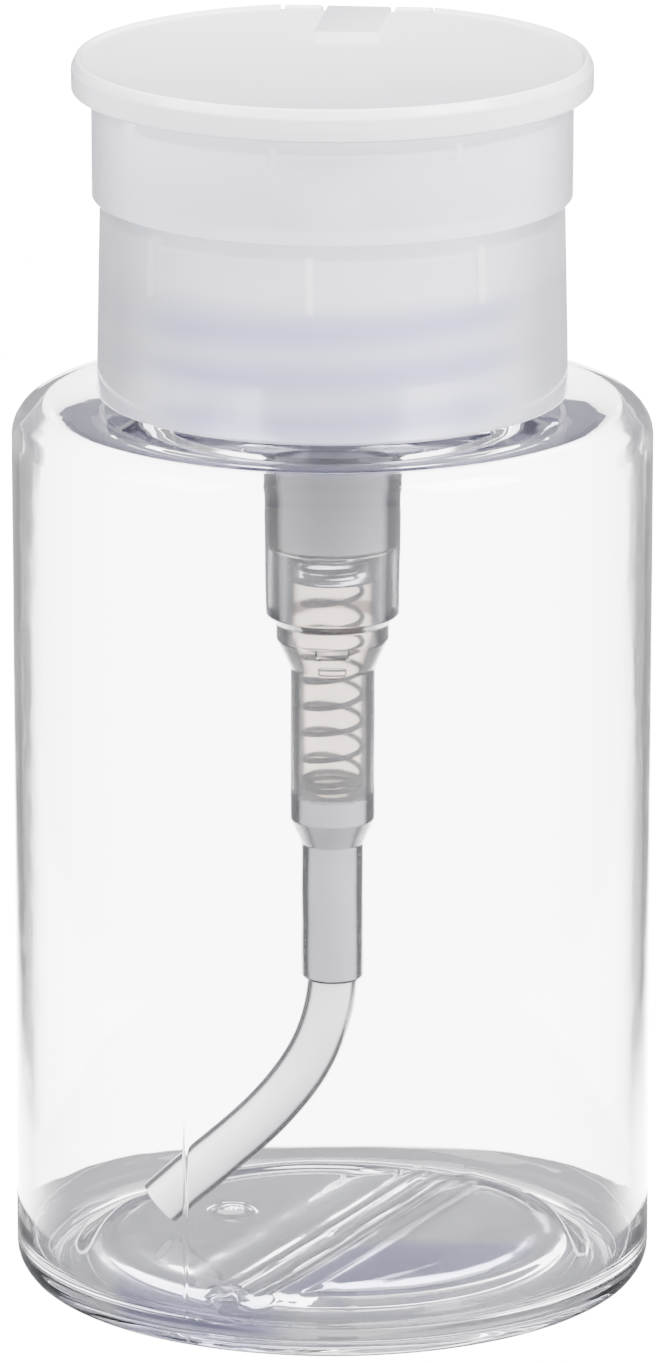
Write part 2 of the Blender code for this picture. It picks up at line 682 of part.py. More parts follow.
def make_head():
    boss_bore = STEM_RADIUS + SLIDE_GAP
    boss = boss_bore + BOSS_WALL
    recess = NOZZLE_RADIUS + REST_GAP
    pocket = recess + DISH_THICKNESS
    dish = [(r, z) for r, z in bowl(RIM_BORE, DISH_MIDDLE, DISH_EDGE, 5) if r > recess]
    under = [(r, z - DISH_THICKNESS) for r, z in dish if r > pocket][::-1]
    under[0] = (HEAD_BORE, under[0][1])
    outline = [
        (HEAD_RADIUS, HEAD_TOP),
        (HEAD_RADIUS, HEAD_LIP + HEAD_LIP_CHAMFER),
        (HEAD_RADIUS - HEAD_LIP_CHAMFER, HEAD_LIP),
        (HEAD_BORE, HEAD_LIP),
    ]
    outline += under
    outline += [(pocket, under[-1][1]), (pocket, RECESS_FLOOR - DISH_THICKNESS)]
    outline += [(boss, RECESS_FLOOR - DISH_THICKNESS), (boss, BOSS_BOTTOM), (boss_bore, BOSS_BOTTOM)]
    outline += [(boss_bore, RECESS_FLOOR), (recess, RECESS_FLOOR), (recess, DISH_MIDDLE)]
    outline += dish
    outline += [(RIM_BORE, HEAD_TOP)]
    head = turned("press_head", outline, FROSTED)
    rib_high = DISH_EDGE - DISH_THICKNESS / 2
    rib_low = rib_high - HEAD_RIB_HEIGHT - DISH_THICKNESS / 2
    reach = HEAD_RIB_REACH + HEAD_WALL / 2
    size = (HEAD_RIB_THICKNESS, reach, rib_high - rib_low)
    centre = (0, -(HEAD_BORE + HEAD_WALL / 2 - reach / 2), (rib_low + rib_high) / 2)
    boxes = wheel_boxes(HEAD_RIB_COUNT, HEAD_RIB_TURN, size, centre)
    combine(head, add_cutter("head_ribs", boxes_mesh("head_ribs", boxes)), "UNION")
    middle = BARREL_WIDTH / 2 + BARREL_GAP + LUG_WIDTH / 2
    core_radius = HEAD_RADIUS - HEAD_WALL / 2
    inside = math.sqrt(core_radius**2 - (middle + LUG_WIDTH / 2) ** 2) - HEAD_WALL
    core_place = Matrix.Translation((0, 0, PIN_PLACE.z))
    core = cylinders_mesh("head_core", [(core_radius, 4 * LUG_HEIGHT, core_place)], 2 * FINE)
    core = add_cutter("head_core", core)
    pin = (PIN_PLACE.y, PIN_PLACE.z)
    lug = [(inside, pin[1] - LUG_HEIGHT), (pin[0] - LUG_SLOPE, pin[1] - LUG_HEIGHT)]
    lug += arc(pin, BARREL_RADIUS, -30, 180, 10)
    lug += [(inside, pin[1])]
    for side, label in ((-1, "left"), (1, "right")):
        cutter = add_cutter("lug_" + label, hinge_plate_mesh("lug", lug, LUG_WIDTH, side * middle))
        combine(cutter, core, "DIFFERENCE")
        combine(head, cutter, "UNION")
    combine(head, PIN_HOLE, "DIFFERENCE")
    return head


def make_nozzle():
    top = NOZZLE_UNDERSIDE + NOZZLE_THICKNESS
    edge = RECESS_FLOOR + REST_GAP
    outline = [
        (0, top),
        (NOZZLE_RADIUS - NOZZLE_SKIRT, top - NOZZLE_CROWN),
        (NOZZLE_RADIUS, top - NOZZLE_CORNER),
        (NOZZLE_RADIUS, edge),
        (NOZZLE_RADIUS - NOZZLE_SKIRT, edge),
        (NOZZLE_RADIUS - NOZZLE_SKIRT, NOZZLE_UNDERSIDE),
        (NOZZLE_STUB_RADIUS, NOZZLE_UNDERSIDE),
        (NOZZLE_STUB_RADIUS, STEM_TOP - NOZZLE_STUB_SINK),
        (0, STEM_TOP - NOZZLE_STUB_SINK),
    ]
    nozzle = turned("nozzle_cap", outline, WHITE, SMALL)
    holes = []
    for i in range(NOZZLE_HOLE_COUNT):
        angle = 2 * math.pi * i / NOZZLE_HOLE_COUNT
        place = (NOZZLE_HOLE_CIRCLE * math.cos(angle), NOZZLE_HOLE_CIRCLE * math.sin(angle), NOZZLE_UNDERSIDE)
        holes.append((NOZZLE_HOLE_RADIUS, 4 * NOZZLE_THICKNESS, Matrix.Translation(place)))
    combine(nozzle, add_cutter("nozzle_holes", cylinders_mesh("nozzle_holes", holes, 12)), "DIFFERENCE")
    return nozzle


def make_lid():
    rim_bore = LID_RADIUS - LID_WALL
    plate = LID_RADIUS - LID_CORNER
    crest = plate - LID_WALL / 2
    face = LID_CREST - LID_LIP
    top = bowl(crest - LID_WALL / 2, face - LID_SAG, face, 5)
    plug = RIM_BORE - REST_GAP
    middle = face - LID_SAG - LID_THICKNESS
    outline = top
    outline += [(crest, LID_CREST)]
    outline += arc((plate, LID_CREST - LID_CORNER), LID_CORNER, 90, 0, 3)
    outline += [(LID_RADIUS, LID_BOTTOM), (rim_bore, LID_BOTTOM), (rim_bore, LID_UNDERSIDE)]
    outline += [(plug, LID_UNDERSIDE), (plug, HEAD_TOP - PLUG_HEIGHT)]
    outline += [(plug - PLUG_WALL, HEAD_TOP - PLUG_HEIGHT), (plug - PLUG_WALL, LID_UNDERSIDE), (0, middle)]
    lid = turned("lid", outline, FROSTED)
    width = BARREL_WIDTH + 2 * (BARREL_GAP + LUG_WIDTH + REST_GAP)
    inside = HEAD_RADIUS - HEAD_WALL
    size = (width, 2 * (LID_RADIUS - inside) + BARREL_RADIUS, 3 * LID_RIM_HEIGHT)
    centre = Vector((0, inside + size[1] / 2, LID_BOTTOM + LID_RIM_HEIGHT / 2))
    notch = add_cutter("hinge_notch", boxes_mesh("hinge_notch", [(size, centre, HINGE_FRAME)]))
    combine(lid, notch, "DIFFERENCE")
    pin = (PIN_PLACE.y, PIN_PLACE.z)
    low = LID_UNDERSIDE + TAB_SINK
    meet = 180 - math.degrees(math.asin((low - pin[1]) / BARREL_RADIUS))
    tab = [(pin[0] - TAB_LENGTH, low)]
    tab += arc(pin, BARREL_RADIUS, meet, 450, 12)
    tab += [(pin[0] - TAB_LENGTH, pin[1] + BARREL_RADIUS)]
    mesh = hinge_plate_mesh("tab", tab, BARREL_WIDTH, 0)
    combine(lid, add_cutter("tab", mesh), "UNION")
    combine(lid, PIN_HOLE, "DIFFERENCE")
    return lid


def hinge_length():
    return BARREL_WIDTH + 2 * (BARREL_GAP + LUG_WIDTH)


def make_pin_hole():
    mesh = cylinders_mesh("pin_hole", [(PIN_RADIUS + SLIDE_GAP, 2 * hinge_length(), across(0))], 16)
    return add_cutter("pin_hole", mesh)


def make_pin():
    mesh = cylinders_mesh("hinge_pin", [(PIN_RADIUS, hinge_length(), across(0))], 16)
    return add_object("hinge_pin", mesh, PARTS, WHITE)


def add_joint_empty(name, place, parent, children):
    """An empty on a joint's axis, which the pieces that the joint moves hang from."""
    empty = bpy.data.objects.new(name, None)
    empty.empty_display_size = 0.01
    PARTS.objects.link(empty)
    empty.location = place
    bpy.context.view_layer.update()
    if parent:
        empty.parent = parent
        empty.matrix_parent_inverse = parent.matrix_world.inverted()
        bpy.context.view_layer.update()
    for child in children:
        child.parent = empty
        child.matrix_parent_inverse = empty.matrix_world.inverted()
    return empty


clear_scene()
PARTS = make_collection("soap_pump_dispenser")
CUTTERS = make_collection("cutters")
CUTTERS.hide_render = True
CLEAR = make_material("clear_bottle", (0.86, 0.87, 0.90), 0.05, alpha=0.35)
FROSTED = make_material("frosted_plastic", (0.80, 0.80, 0.84), 0.35, alpha=0.85)
MILKY = make_material("milky_plastic", (0.66, 0.66, 0.70), 0.3, alpha=0.75)
WHITE = make_material("white_plastic", (0.85, 0.84, 0.82), 0.35)
FOAM = make_material("sealing_foam", (0.88, 0.87, 0.85), 0.8)
STEEL = make_material("stainless_steel", (0.72, 0.72, 0.73), 0.25, metallic=1.0)
PIN_HOLE = make_pin_hole()


def main():
    make_bottle()
    inlet_ball, outlet_ball = make_balls()
    body = [make_gasket(), make_housing(), make_guide(), make_spring(), make_tube()]
    collar = make_collar()
    pin = make_pin()
    plunger = [make_piston(), make_stem(), make_head(), make_nozzle(), pin]
    lid = make_lid()
    lift = add_joint_empty("pump_lift", (0, 0, NECK_TOP), None, body)
    add_joint_empty("collar_turn", (0, 0, NECK_TOP), lift, [collar])
    press = add_joint_empty("head_press", (0, 0, HEAD_LIP), lift, plunger)
    add_joint_empty("lid_hinge", HINGE_FRAME @ PIN_PLACE, press, [lid])
    add_joint_empty("inlet_lift", inlet_ball.location, lift, [inlet_ball])
    add_joint_empty("outlet_lift", outlet_ball.location, press, [outlet_ball])
    for obj in PARTS.objects:
        if obj.type == "MESH":
            shade_round(obj)


main()
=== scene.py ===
"""Finish of the push-down soap dispenser: smooth clear, frosted and milky plastic pieces round its frame.

Laid out as an add-on, and run as a script. Lengths are in metres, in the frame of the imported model.
"""

import json
import math
from functools import partial

import bmesh
import bpy
from mathutils import Matrix, Vector


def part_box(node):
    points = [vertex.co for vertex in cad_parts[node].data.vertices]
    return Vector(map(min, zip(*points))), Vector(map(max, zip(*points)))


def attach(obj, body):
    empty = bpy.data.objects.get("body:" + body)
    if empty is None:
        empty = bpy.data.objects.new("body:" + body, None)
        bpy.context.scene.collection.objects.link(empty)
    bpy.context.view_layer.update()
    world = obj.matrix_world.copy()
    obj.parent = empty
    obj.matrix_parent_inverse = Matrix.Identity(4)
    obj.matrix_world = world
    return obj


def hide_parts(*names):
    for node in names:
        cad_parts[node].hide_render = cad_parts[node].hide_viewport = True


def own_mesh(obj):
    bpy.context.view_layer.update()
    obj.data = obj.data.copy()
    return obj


bl_info = {
    "name": "Push-down Dispenser Finish",
    "version": (1, 0, 0),
    "blender": (4, 5, 0),
    "location": "3D View > Sidebar > Dispenser",
    "description": "Builds the visible pieces of a push-down soap dispenser round its frame",
    "category": "Object",
}

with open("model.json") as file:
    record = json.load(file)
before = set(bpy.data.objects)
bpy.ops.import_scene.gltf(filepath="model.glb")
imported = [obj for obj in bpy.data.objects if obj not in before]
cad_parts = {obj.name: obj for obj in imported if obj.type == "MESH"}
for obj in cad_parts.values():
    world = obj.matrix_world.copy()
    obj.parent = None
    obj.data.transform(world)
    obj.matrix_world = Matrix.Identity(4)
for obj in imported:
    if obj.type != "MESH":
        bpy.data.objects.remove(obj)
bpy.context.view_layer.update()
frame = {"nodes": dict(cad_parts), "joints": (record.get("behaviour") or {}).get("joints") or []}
BOX = {name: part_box(name) for name in frame["nodes"]}
MM = 0.001


def low(node):
    return BOX[node][0].z


def high(node):
    return BOX[node][1].z


def radius_of(node):
    return BOX[node][1].x


def joint_named(name):
    return next(joint for joint in frame["joints"] if joint["name"] == name)


HINGE = joint_named("lid_hinge")
HINGE_PLACE = Vector(HINGE["pos_m"])
HINGE_TURN = math.atan2(HINGE["axis"][1], HINGE["axis"][0])
HINGE_FRAME = Matrix.Rotation(HINGE_TURN, 4, "Z")
HINGE_REACH = math.hypot(HINGE_PLACE.x, HINGE_PLACE.y)

NECK_TOP = high("bottle")
SHOULDER = low("screw_collar") - 1.0 * MM
GASKET_GAP = low("neck_gasket") - NECK_TOP
FLANGE_LOW = high("neck_gasket") + GASKET_GAP
FLANGE_HIGH = FLANGE_LOW + 1.2 * MM
WEB_LOW = FLANGE_HIGH + GASKET_GAP
WEB_HIGH = low("press_head") - 0.5 * MM

# Screw thread
LEAD = 4.2 * MM
THREAD_LOW = NECK_TOP - 7.7 * MM
NECK_TURNS = 1.5
SLEEVE_TURNS = 1.25
THREAD_HEIGHT = 0.9 * MM
THREAD_HALF = 0.85 * MM
THREAD_FLANK = 0.65      # share of the half width over which a bead rises
THREAD_FADE = 0.14       # turns over which a bead fades out at its ends
THREAD_SPAN = 8.6 * MM   # height that the wall is divided into rows for
THREAD_ROWS = 66
NECK_RADIUS = 15.1 * MM
NECK_BORE = 13.4 * MM
SLEEVE_BORE = 16.4 * MM

# Parting line of the bottle's mould, as an angle from +X
PARTING = math.radians(-117)
RIDGE_HEADING = math.radians(63)


# Ribs, also as lighter lines painted in the walls that they stand behind
RIB_COUNT = 8
RIB_WIDTH = 0.6 * MM
RIB_LINE_HALF = 0.4 * MM
COLLAR_RIB_SPAN = (NECK_TOP - 1.8 * MM, WEB_LOW + 0.6 * MM)
HEAD_RIB_SPAN = (low("press_head") + 7.2 * MM, low("press_head") + 9.1 * MM)
COLLAR_RIB_TURN = math.radians(-5.6)
HEAD_RIB_TURN = math.radians(-13.8)


def rib_lines(turn, radius, span):
    return {"Turn": turn, "Radius": radius, "Half": RIB_LINE_HALF, "Low": span[0], "High": span[1]}


RIB_LINES = {
    "collar": rib_lines(COLLAR_RIB_TURN, 21.5 * MM, COLLAR_RIB_SPAN),
    "head": rib_lines(HEAD_RIB_TURN, 22.3 * MM, HEAD_RIB_SPAN),
}


def length(name, description, default):
    return bpy.props.FloatProperty(name=name, description=description, default=default, unit="LENGTH")


def tint(name, description, *default):
    return bpy.props.FloatVectorProperty(name=name, description=description, subtype="COLOR", default=default)


class DispenserSizes(bpy.types.PropertyGroup):
    bottle_wall: length("Bottle wall", "Thickness of the blown wall", 0.0009)
    shoulder_wall: length("Shoulder wall", "Thickness of the shoulder at the neck", 0.0026)
    heel_wall: length("Heel wall", "Thickness of the bottle's heel", 0.0014)
    push_up: length("Push-up", "Rise of the base's middle", 0.0020)
    lobe_rise: length("Lobe rise", "Further rise of the base's two lobes", 0.00036)
    collar_wall: length("Collar wall", "Thickness of the collar's skirt", 0.0009)
    head_wall: length("Head wall", "Thickness of the press head's skirt", 0.0005)
    lid_wall: length("Lid wall", "Thickness of the lid's rim", 0.001)
    edge_round: length("Edge round", "Rounding of moulded edges", 0.0002)
    wire: length("Spring wire", "Diameter of the spring's wire", 0.00054)


class DispenserColours(bpy.types.PropertyGroup):
    clear: tint("Clear", "Tint of the clear bottle", 0.97, 0.972, 0.985)
    frosted: tint("Frosted", "Screw collar", 0.89, 0.89, 0.93)
    head: tint("Head", "Press head", 0.91, 0.91, 0.955)
    lid: tint("Lid", "Flip lid", 0.95, 0.95, 0.975)
    # Painted shade: dark lavender patches on the clear base, in place of the dim surroundings seen through it
    painted_base_shade: tint("Base shade patches", "Thicker clear plastic", 0.40, 0.39, 0.60)
    # Painted shadow: soft bands on the collar, in place of the shade of the sleeve's thread behind its wall
    band: tint("Thread bands", "Painted shadow of the thread behind the collar", 0.55, 0.55, 0.73)
    rib: tint("Ribs", "Ribs of the collar and head", 0.92, 0.92, 0.95)
    milky: tint("Milky", "Pump housing", 0.70, 0.70, 0.715)
    socket: tint("Socket", "Pump housing below its spring", 0.36, 0.36, 0.385)
    tube: tint("Tube", "Dip tube", 0.80, 0.78, 0.79)
    cream: tint("Cream", "Lining of the pump housing's bore", 1.0, 0.76, 0.58)
    steel: tint("Steel", "Spring and valve balls", 0.14, 0.137, 0.13)
    floor: tint("Floor", "Studio floor under its glow", 0.04, 0.04, 0.042)


# Outlines

CORNER_SHARE = 0.48      # the most of a side that one of its corners may take


def round_point(centre, radius, angle):
    return centre[0] + radius * math.cos(angle), centre[1] + radius * math.sin(angle)


def arc(centre, radius, start, end, steps):
    """Points on an arc between two angles in degrees."""
    angles = [math.radians(start + (end - start) * i / steps) for i in range(steps + 1)]
    return [round_point(centre, radius, angle) for angle in angles]


def soften(points, steps=4, ring=False):
    """Corners given as (radius, height, rounding) become arcs. A ring's ends are joined."""
    out = []
    count = len(points)
    for i, point in enumerate(points):
        rounding = point[2] if len(point) > 2 else 0
        inside = ring or 0 < i < count - 1
        if not rounding or not inside:
            out.append(tuple(point[:2]))
            continue
        here = Vector(point[:2])
        to_last = Vector(points[i - 1][:2]) - here
        to_next = Vector(points[(i + 1) % count][:2]) - here
        half = to_last.angle(to_next) / 2
        cut = min(rounding / math.tan(half), CORNER_SHARE * to_last.length, CORNER_SHARE * to_next.length)
        middle = here + (to_last.normalized() + to_next.normalized()).normalized() * cut / math.cos(half)
        start = here + to_last.normalized() * cut - middle
        end = here + to_next.normalized() * cut - middle
        first = math.atan2(start.y, start.x)
        sweep = (math.atan2(end.y, end.x) - first + math.pi) % (2 * math.pi) - math.pi
        for k in range(steps + 1):
            out.append(round_point(middle, start.length, first + sweep * k / steps))
    return out


def between(first, last, count):
    """Points on the way from one to the other, without either end."""
    return [tuple(a + (b - a) * (i / count) for a, b in zip(first, last)) for i in range(1, count)]


def dish(outer, middle, edge, count):
    """Points from the axis outwards along a shallow parabola, without its outer end."""
    return [(outer * i / count, middle + (edge - middle) * (i / count) ** 2) for i in range(count)]


def smooth(t):
    t = min(1, max(0, t))
    return t * t * (3 - 2 * t)


def bead(angle, height, turns, start):
    """How far a thread's bead stands off its wall at an angle and a height."""
    share = ((angle + math.pi / 2) / (2 * math.pi)) % 1
    best = 0
    turn = share
    while turn <= turns:
        off = abs(height - start - LEAD * turn)
        fade = smooth(min(turn, turns - turn) / THREAD_FADE)
        best = max(best, fade * smooth((THREAD_HALF - off) / (THREAD_FLANK * THREAD_HALF)))
        turn += 1
    return THREAD_HEIGHT * best


# Meshes

DEFAULT_SIDES = 192      # of a turned body
ROD_SIDES = 48


def even_angles(count):
    return [2 * math.pi * i / count for i in range(count)]


def apart(angle, other):
    """How far two angles lie apart."""
    return abs((angle - other + math.pi) % (2 * math.pi) - math.pi)


def angles_with_line(count, lines):
    """Even angles, with a few close ones round each line that stands up from the wall."""
    angles = even_angles(count)
    step = 2 * math.pi / count
    for line in lines:
        place = line % (2 * math.pi)
        angles = [angle for angle in angles if apart(angle, place) > 0.6 * step]
        angles += [(place + k * 0.14 * step) % (2 * math.pi) for k in range(-3, 4)]
    return sorted(angles)


def mark(mesh, name, values):
    """A value between 0 and 1 on each of a mesh's points, which its material reads by name."""
    layer = mesh.attributes.new(name, "FLOAT", "POINT")
    layer.data.foreach_set("value", values)


def mark_inside(obj, radius):
    """Marks the points nearer to the axis than a radius as the bore."""
    places = [point.co for point in obj.data.vertices]
    mark(obj.data, "bore", [float(math.hypot(place.x, place.y) < radius) for place in places])


def lathe(name, stations, angles=None, ring=False, bore_from=None):
    """A turned body. Each station is (radius, height) or a function of the angle that gives them.

    The stations run down the outer side. Without ring, they start and end on the axis. From the station
    bore_from on, they are marked as the bore.
    """
    angles = angles or even_angles(DEFAULT_SIDES)
    around = len(angles)
    verts = []
    rows = []
    for station in stations:
        if not callable(station) and station[0] == 0:
            rows.append([len(verts)])
            verts.append((0, 0, station[1]))
            continue
        rows.append(list(range(len(verts), len(verts) + around)))
        for angle in angles:
            radius, height = station(angle) if callable(station) else station
            verts.append((radius * math.cos(angle), radius * math.sin(angle), height))
    faces = []
    pairs = list(zip(rows, rows[1:]))
    if ring:
        pairs.append((rows[-1], rows[0]))
    for upper, lower in pairs:
        for j in range(around):
            k = (j + 1) % around
            if len(upper) == 1:
                faces.append((upper[0], lower[j], lower[k]))
            elif len(lower) == 1:
                faces.append((upper[j], lower[0], upper[k]))
            else:
                faces.append((upper[j], lower[j], lower[k], upper[k]))
    mesh = bpy.data.meshes.new(name)
    mesh.from_pydata(verts, [], faces)
    mesh.update()
    if bore_from:
        first = rows[bore_from][0]
        mark(mesh, "bore", [float(i >= first) for i in range(len(verts))])
    return add(name, mesh)


def add(name, mesh):
    obj = bpy.data.objects.new(name, mesh)
    bpy.context.scene.collection.objects.link(obj)
    return obj


def plain(obj):
    """The object's evaluated mesh at the origin, in place of its modifiers."""
    bpy.context.view_layer.update()
    graph = bpy.context.evaluated_depsgraph_get()
    mesh = bpy.data.meshes.new_from_object(obj.evaluated_get(graph))
    mesh.transform(obj.matrix_world)
    name = obj.name
    bpy.data.objects.remove(obj, do_unlink=True)
    mesh.name = name
    return add(name, mesh)


def combine(obj, other, operation):
    """Joins or cuts obj by other, which is then removed."""
    modifier = obj.modifiers.new("Join", "BOOLEAN")
    modifier.operation = operation
    modifier.object = other
    modifier.solver = "EXACT"
    result = plain(obj)
    bpy.data.objects.remove(other, do_unlink=True)
    return result


def worked(name, work):
    """An object with the mesh that was worked on."""
    mesh = bpy.data.meshes.new(name)
    work.to_mesh(mesh)
    work.free()
    return add(name, mesh)


def round_edges(work, edges, offset, segments):
    bmesh.ops.bevel(work, geom=edges, offset=offset, segments=segments, profile=0.5, affect="EDGES")


def box(name, size, centre, place):
    work = bmesh.new()
    matrix = place @ Matrix.Translation(centre) @ Matrix.Diagonal((*size, 1))
    bmesh.ops.create_cube(work, size=1, matrix=matrix)
    return worked(name, work)


def hinge_plate(name, outline, width, offset, rounding):
    """An outline of (depth, height) points extruded along the hinge, with its two outlines' edges rounded."""
    work = bmesh.new()
    turned = HINGE_FRAME @ Matrix.Translation((offset, 0, 0))
    sides = []
    for side in (-width / 2, width / 2):
        sides.append([work.verts.new(turned @ Vector((side, y, z))) for y, z in outline])
    left, right = sides
    faces = [work.faces.new(left[::-1]), work.faces.new(right)]
    for i in range(len(outline)):
        k = (i + 1) % len(outline)
        work.faces.new((left[i], left[k], right[k], right[i]))
    rims = [edge for face in faces for edge in face.edges]
    bmesh.ops.recalc_face_normals(work, faces=work.faces[:])
    round_edges(work, rims, rounding, 2)
    return worked(name, work)


def hinge_rod(name, radius, depth, rounding=0.0):
    """A rod along the hinge's axis."""
    work = bmesh.new()
    place = Matrix.Translation(HINGE_PLACE) @ HINGE_FRAME @ Matrix.Rotation(math.pi / 2, 4, "Y")
    sizes = {"radius1": radius, "radius2": radius, "depth": depth}
    bmesh.ops.create_cone(work, cap_ends=True, segments=ROD_SIDES, matrix=place, **sizes)
    if rounding:
        rims = [edge for edge in work.edges if any(len(face.verts) > 4 for face in edge.link_faces)]
        round_edges(work, rims, rounding, 3)
    return worked(name, work)


def finish_piece(obj, material, body, nodes, slot, angle=40):
    """Shades a piece, gives it its material and hangs it on its body in place of its nodes."""
    mesh = obj.data
    mesh.materials.clear()
    mesh.materials.append(material)
    mesh.polygons.foreach_set("material_index", [0] * len(mesh.polygons))
    mesh.shade_smooth()
    mesh.set_sharp_from_angle(angle=math.radians(angle))
    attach(obj, body)
    if nodes:
        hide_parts(*nodes)
    return obj


# Nodes

FLOAT = "NodeSocketFloat"
SPRING_POINTS = 48.0     # in each turn


class Nodes:
    """A node tree under construction."""

    def __init__(self, tree):
        self.tree = tree

    def feed(self, socket, value):
        """Links or sets an input. None leaves it."""
        if isinstance(value, bpy.types.NodeSocket):
            self.tree.links.new(value, socket)
        elif value is not None:
            socket.default_value = value

    def put(self, kind, *values, **settings):
        """A node with its settings and its inputs in their order."""
        node = self.tree.nodes.new(kind)
        for key, value in settings.items():
            setattr(node, key, value)
        for socket, value in zip([socket for socket in node.inputs if socket.enabled], values):
            self.feed(socket, value)
        return node

    def fed(self, kind, values, **settings):
        """A node with its settings and some of its inputs, by name or place."""
        node = self.put(kind, **settings)
        for label, value in values.items():
            self.feed(node.inputs[label], value)
        return node

    def maths(self, operation, *values):
        return self.put("ShaderNodeMath", *values, operation=operation).outputs[0]

    def spread(self, value, low, high, first, last):
        """A value mapped smoothly from the range low to high onto first to last."""
        node = self.put("ShaderNodeMapRange", value, low, high, first, last, interpolation_type="SMOOTHSTEP")
        return node.outputs["Result"]

    def where(self):
        """The piece's own coordinates at a point of its surface."""
        return self.put("ShaderNodeTexCoord").outputs["Object"]

    def place(self):
        """The same as x, y and z."""
        return self.put("ShaderNodeSeparateXYZ", self.where()).outputs

    def heading(self, place):
        """The angle of a place round the axis, from the front."""
        return self.maths("ARCTAN2", place[0], self.maths("MULTIPLY", place[1], -1.0))

    def noise(self, where, scale, detail):
        return self.fed("ShaderNodeTexNoise", {"Vector": where, "Scale": scale, "Detail": detail}).outputs[0]


class Tree(Nodes):
    """A geometry node tree under construction, with named inputs."""

    def __init__(self, name, inputs):
        super().__init__(bpy.data.node_groups.new(name, "GeometryNodeTree"))
        self.sockets = {}
        for label, kind in inputs:
            item = self.tree.interface.new_socket(name=label, in_out="INPUT", socket_type=kind)
            self.sockets[label] = item.identifier
        self.tree.interface.new_socket(name="Geometry", in_out="OUTPUT", socket_type="NodeSocketGeometry")
        self.given = self.put("NodeGroupInput").outputs

    def close(self, geometry):
        real = self.put("GeometryNodeRealizeInstances", geometry).outputs[0]
        dressed = self.put("GeometryNodeSetMaterial", real, None, self.given["Material"]).outputs[0]
        self.put("NodeGroupOutput", dressed)

    def build(self, name, values):
        """The tree's result for these input values, as a plain mesh."""
        obj = add(name, bpy.data.meshes.new(name))
        modifier = obj.modifiers.new("Build", "NODES")
        modifier.node_group = self.tree
        for label, value in values.items():
            modifier[self.sockets[label]] = value
        return plain(obj)


def wheel_tree():
    """Boxes or rods set round the axis, for ribs and holes."""
    inputs = [("Count", "NodeSocketInt"), ("Radius", FLOAT), ("Level", FLOAT), ("Turn", FLOAT)]
    inputs += [("Size", "NodeSocketVector"), ("Round", "NodeSocketBool"), ("Material", "NodeSocketMaterial")]
    tree = Tree("pieces_round_axis", inputs)
    given = tree.given
    points = tree.put("GeometryNodePoints", given["Count"]).outputs[0]
    index = tree.put("GeometryNodeInputIndex").outputs[0]
    step = tree.maths("DIVIDE", 2 * math.pi, given["Count"])
    angle = tree.maths("ADD", tree.maths("MULTIPLY", index, step), given["Turn"])
    back = tree.maths("MULTIPLY", given["Radius"], -1.0)
    start = tree.put("ShaderNodeCombineXYZ", 0.0, back, given["Level"]).outputs[0]
    turned = tree.fed("ShaderNodeVectorRotate", {"Vector": start, "Angle": angle}, rotation_type="Z_AXIS")
    placed = tree.put("GeometryNodeSetPosition", points, None, turned.outputs[0]).outputs[0]
    cube = tree.put("GeometryNodeMeshCube", given["Size"]).outputs[0]
    parts = tree.put("ShaderNodeSeparateXYZ", given["Size"]).outputs
    rod = tree.put("GeometryNodeMeshCylinder", 20, 1, 1, parts[0], parts[2]).outputs[0]
    shape = tree.put("GeometryNodeSwitch", given["Round"], cube, rod, input_type="GEOMETRY").outputs[0]
    spin = tree.put("ShaderNodeCombineXYZ", 0.0, 0.0, angle).outputs[0]
    copies = tree.fed("GeometryNodeInstanceOnPoints", {"Points": placed, "Instance": shape, "Rotation": spin})
    tree.close(copies.outputs[0])
    return tree


def spring_tree():
    """A compression spring whose end turns lie closed."""
    labels = ("Radius", "Wire", "Foot", "Height", "Open turns", "Closed turns", "Closed pitch")
    inputs = [(label, FLOAT) for label in labels] + [("Material", "NodeSocketMaterial")]
    tree = Tree("compression_spring", inputs)
    given = tree.given
    maths = tree.maths
    closed = given["Closed turns"]
    turns = maths("ADD", given["Open turns"], maths("MULTIPLY", closed, 2.0))
    line = tree.put("GeometryNodeCurvePrimitiveLine").outputs[0]
    count = maths("MULTIPLY", turns, SPRING_POINTS)
    points = tree.fed("GeometryNodeResampleCurve", {"Curve": line, "Count": count}).outputs[0]
    share = tree.put("GeometryNodeSplineParameter").outputs[0]
    turn = maths("MULTIPLY", share, turns)
    first = maths("MINIMUM", turn, closed)
    past = maths("SUBTRACT", maths("SUBTRACT", turn, closed), given["Open turns"])
    ends = maths("ADD", first, maths("MAXIMUM", past, 0.0))
    middle = maths("SUBTRACT", turn, ends)
    closed_height = maths("MULTIPLY", maths("MULTIPLY", closed, given["Closed pitch"]), 2.0)
    pitch = maths("DIVIDE", maths("SUBTRACT", given["Height"], closed_height), given["Open turns"])
    rise = maths("MULTIPLY", ends, given["Closed pitch"])
    rise = maths("ADD", rise, maths("MULTIPLY", middle, pitch))
    height = maths("ADD", rise, given["Foot"])
    angle = maths("MULTIPLY", turn, 2 * math.pi)
    across = [maths("MULTIPLY", maths(wave, angle), given["Radius"]) for wave in ("COSINE", "SINE")]
    place = tree.put("ShaderNodeCombineXYZ", *across, height).outputs[0]
    coil = tree.put("GeometryNodeSetPosition", points, None, place).outputs[0]
    section = tree.fed("GeometryNodeCurvePrimitiveCircle", {"Resolution": 14, "Radius": given["Wire"]})
    wire = tree.put("GeometryNodeCurveToMesh", coil, section.outputs[0])
    wire.inputs["Fill Caps"].default_value = True
    tree.close(wire.outputs[0])
    return tree


# Materials

BORE_CLEARNESS = 0.34
SOCKET_CLEARNESS = 0.30  # of the housing below its spring
SOCKET_TOP = low("return_spring") - 0.2 * MM
ESCAPE_DEPTH = 5.5       # bounces in a wall after which light leaves it
# Painted thread shadow: how deep its bands are, and how sharp their top
THREAD_SHADOW_DEPTH = 0.24
THREAD_SHADOW_EDGE = 700.0        # per metre, at the top of the painted thread shadow
RIB_SIDE_EDGE = 8000.0   # per metre, and so are the next two
RIB_FOOT_EDGE = 6000.0
RIB_TOP_EDGE = 3000.0
MATERIALS = {}
